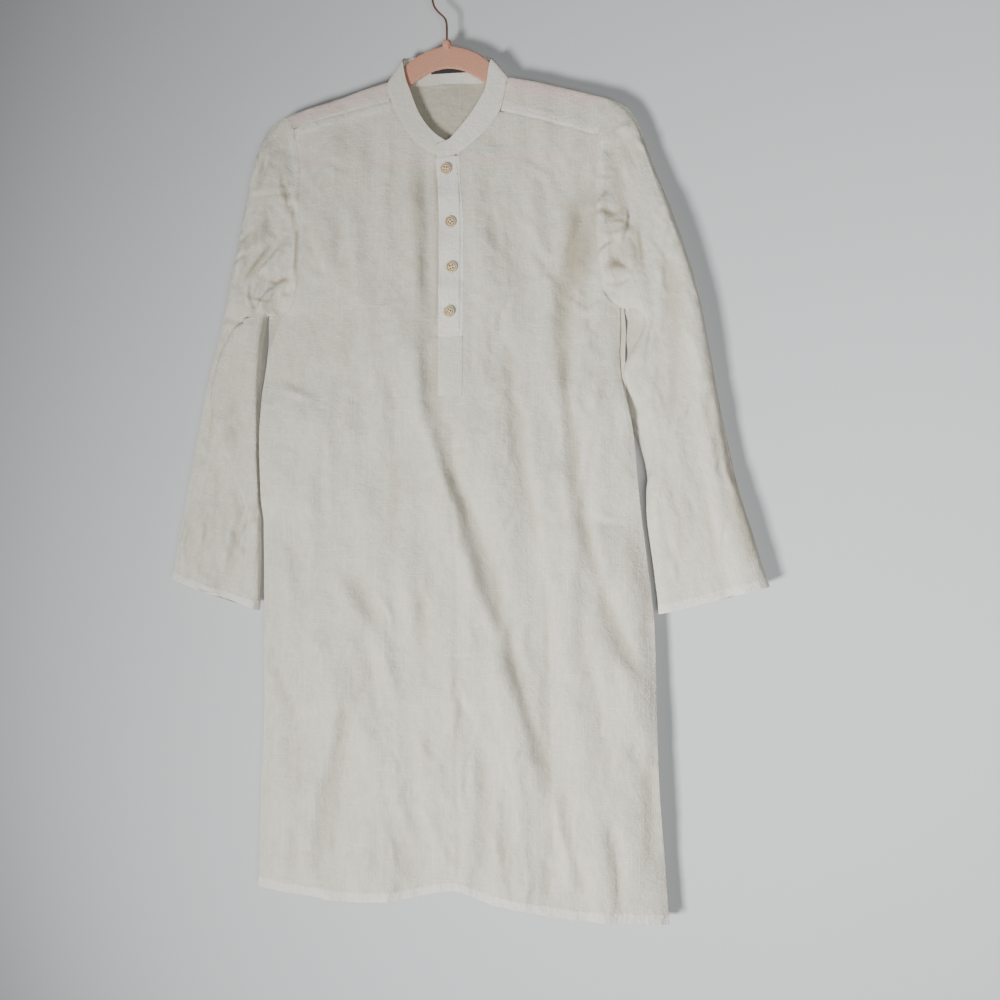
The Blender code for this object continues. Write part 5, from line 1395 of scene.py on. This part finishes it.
# %% Woven tape
tape, tape_tree, tape_shader = plain_material("black_tape")
tape_place = add(tape_tree, "ShaderNodeTexCoord").outputs["Object"]
tape_split = add(tape_tree, "ShaderNodeSeparateXYZ", (tape_place,))
ribs = math_node(tape_tree, "SINE", math_node(tape_tree, "MULTIPLY", tape_split.outputs[2], 9000.0))
fuzz = noise(tape_tree, tape_place, 1500.0, 2.0)
tape_tree.links.new(blend_colour(tape_tree, fuzz, (0.012, 0.011, 0.012, 1), (0.05, 0.048, 0.05, 1)),
                    tape_shader.inputs["Base Color"])
add_bump(tape_tree, tape_shader, math_node(tape_tree, "ADD", ribs, fuzz), 1.0, 0.15)
tape_tree.links.new(math_node(tape_tree, "MULTIPLY_ADD", fuzz, 0.2, 0.6), tape_shader.inputs["Roughness"])
finish_with(tape, label)

# %% Velvet flock and rose gold
velvet, _, velvet_shader = streaked("blush_velvet", (0.55, 0.285, 0.195, 1), (0.45, 0.215, 0.145, 1),
                                    (700, 700, 500), 0.35, 0.65, 0.25, (0.9, 1.0), 5.0)
set_shader(velvet_shader, Sheen_Weight=0.4, Sheen_Roughness=0.45, Specular_IOR_Level=0.15)
velvet_shader.inputs["Sheen Tint"].default_value = (0.9, 0.62, 0.55, 1)
finish_with(velvet, hanger)
wire, _, wire_shader = streaked("rose_gold_wire", (0.78, 0.50, 0.40, 1), (0.62, 0.37, 0.29, 1),
                                (900, 900, 120), 0.4, 0.7, 0.02, (0.22, 0.38), 4.0)
set_shader(wire_shader, Metallic=1.0)
finish_with(wire, hook)
print("materials:", len(bpy.data.materials))

# %% [markdown]
# ## The room
# The tunic hangs against a plain pale wall, above a plain floor. Seen from
# behind, the wall is clear, so that the back of the tunic can be looked at too.

# %% Wall and floor
WALL_Y, FLOOR_Z, ROOM = 24.0, -2400.0, 9.0


def plain_sheet(name, location, rotation):
    """A large plane of the room."""
    bpy.ops.object.select_all(action="DESELECT")
    bpy.ops.mesh.primitive_plane_add(size=ROOM, location=location, rotation=rotation)
    sheet = bpy.context.object
    sheet.name = name
    sheet.visible_shadow = False
    return sheet


def room_paint(name, colour):
    """Matt paint that can't be seen from behind."""
    material, tree, shader = plain_material(name)
    place = add(tree, "ShaderNodeTexCoord").outputs["Object"]
    patches = noise(tree, place, 3.0, 3.0)
    darker = tuple(0.97 * part for part in colour[:3]) + (1,)
    tree.links.new(blend_colour(tree, patches, darker, colour), shader.inputs["Base Color"])
    shader.inputs["Roughness"].default_value = 0.9
    clear = add(tree, "ShaderNodeBsdfTransparent")
    behind = add(tree, "ShaderNodeNewGeometry").outputs["Backfacing"]
    choice = add(tree, "ShaderNodeMixShader", (behind, shader.outputs[0], clear.outputs[0]))
    tree.links.new(choice.outputs[0], tree.nodes["Material Output"].inputs[0])
    return material


wall = plain_sheet("wall", (0, WALL_Y * MM, -0.6), (math.radians(90), 0, 0))
wall.visible_diffuse = False
floor = plain_sheet("floor", (0, 0, FLOOR_Z * MM), (0, 0, 0))
finish_with(room_paint("wall_paint", (0.52, 0.53, 0.54, 1)), wall)
finish_with(room_paint("floor_paint", (0.66, 0.66, 0.65, 1)), floor)

# %% [markdown]
# ## Light
# A soft lamp stands low on the left and throws the shadow up and to the right. A broader, weaker
# one fills from the right, and two more light the back for those who walk round it.

# %% Lamps and sky
LAMPS = (
    # name, power, size, place, where it points, how wide it spreads in degrees
    ("key", 31.5, 0.6, (-1.15, -2.0, -1.75), (1.15, 0, -0.62), 80),
    ("front", 10.0, 0.9, (0.9, -2.3, -1.0), (0.8, 0, -0.75), 90),
    ("back_left", 26.0, 1.5, (-1.8, 2.2, -0.1), (0, 0, -0.6), 180),
    ("back_right", 20.0, 1.5, (1.9, 2.0, -0.6), (0, 0, -0.6), 180))
SKY_COLOUR, SKY_STRENGTH = (0.82, 0.87, 0.92, 1), 0.11
for name, power, size, place, aim, spread in LAMPS:
    bpy.ops.object.light_add(type="AREA", location=place)
    lamp = bpy.context.object
    lamp.name = name + "_lamp"
    lamp.data.energy = power
    lamp.data.size = size
    lamp.data.spread = math.radians(spread)
    lamp.rotation_euler = (Vector(place) - Vector(aim)).to_track_quat("Z", "Y").to_euler()

world = bpy.context.scene.world or bpy.data.worlds.new("room")
bpy.context.scene.world = world
world.use_nodes = True
sky = world.node_tree.nodes["Background"]
sky.inputs["Color"].default_value = SKY_COLOUR
sky.inputs["Strength"].default_value = SKY_STRENGTH
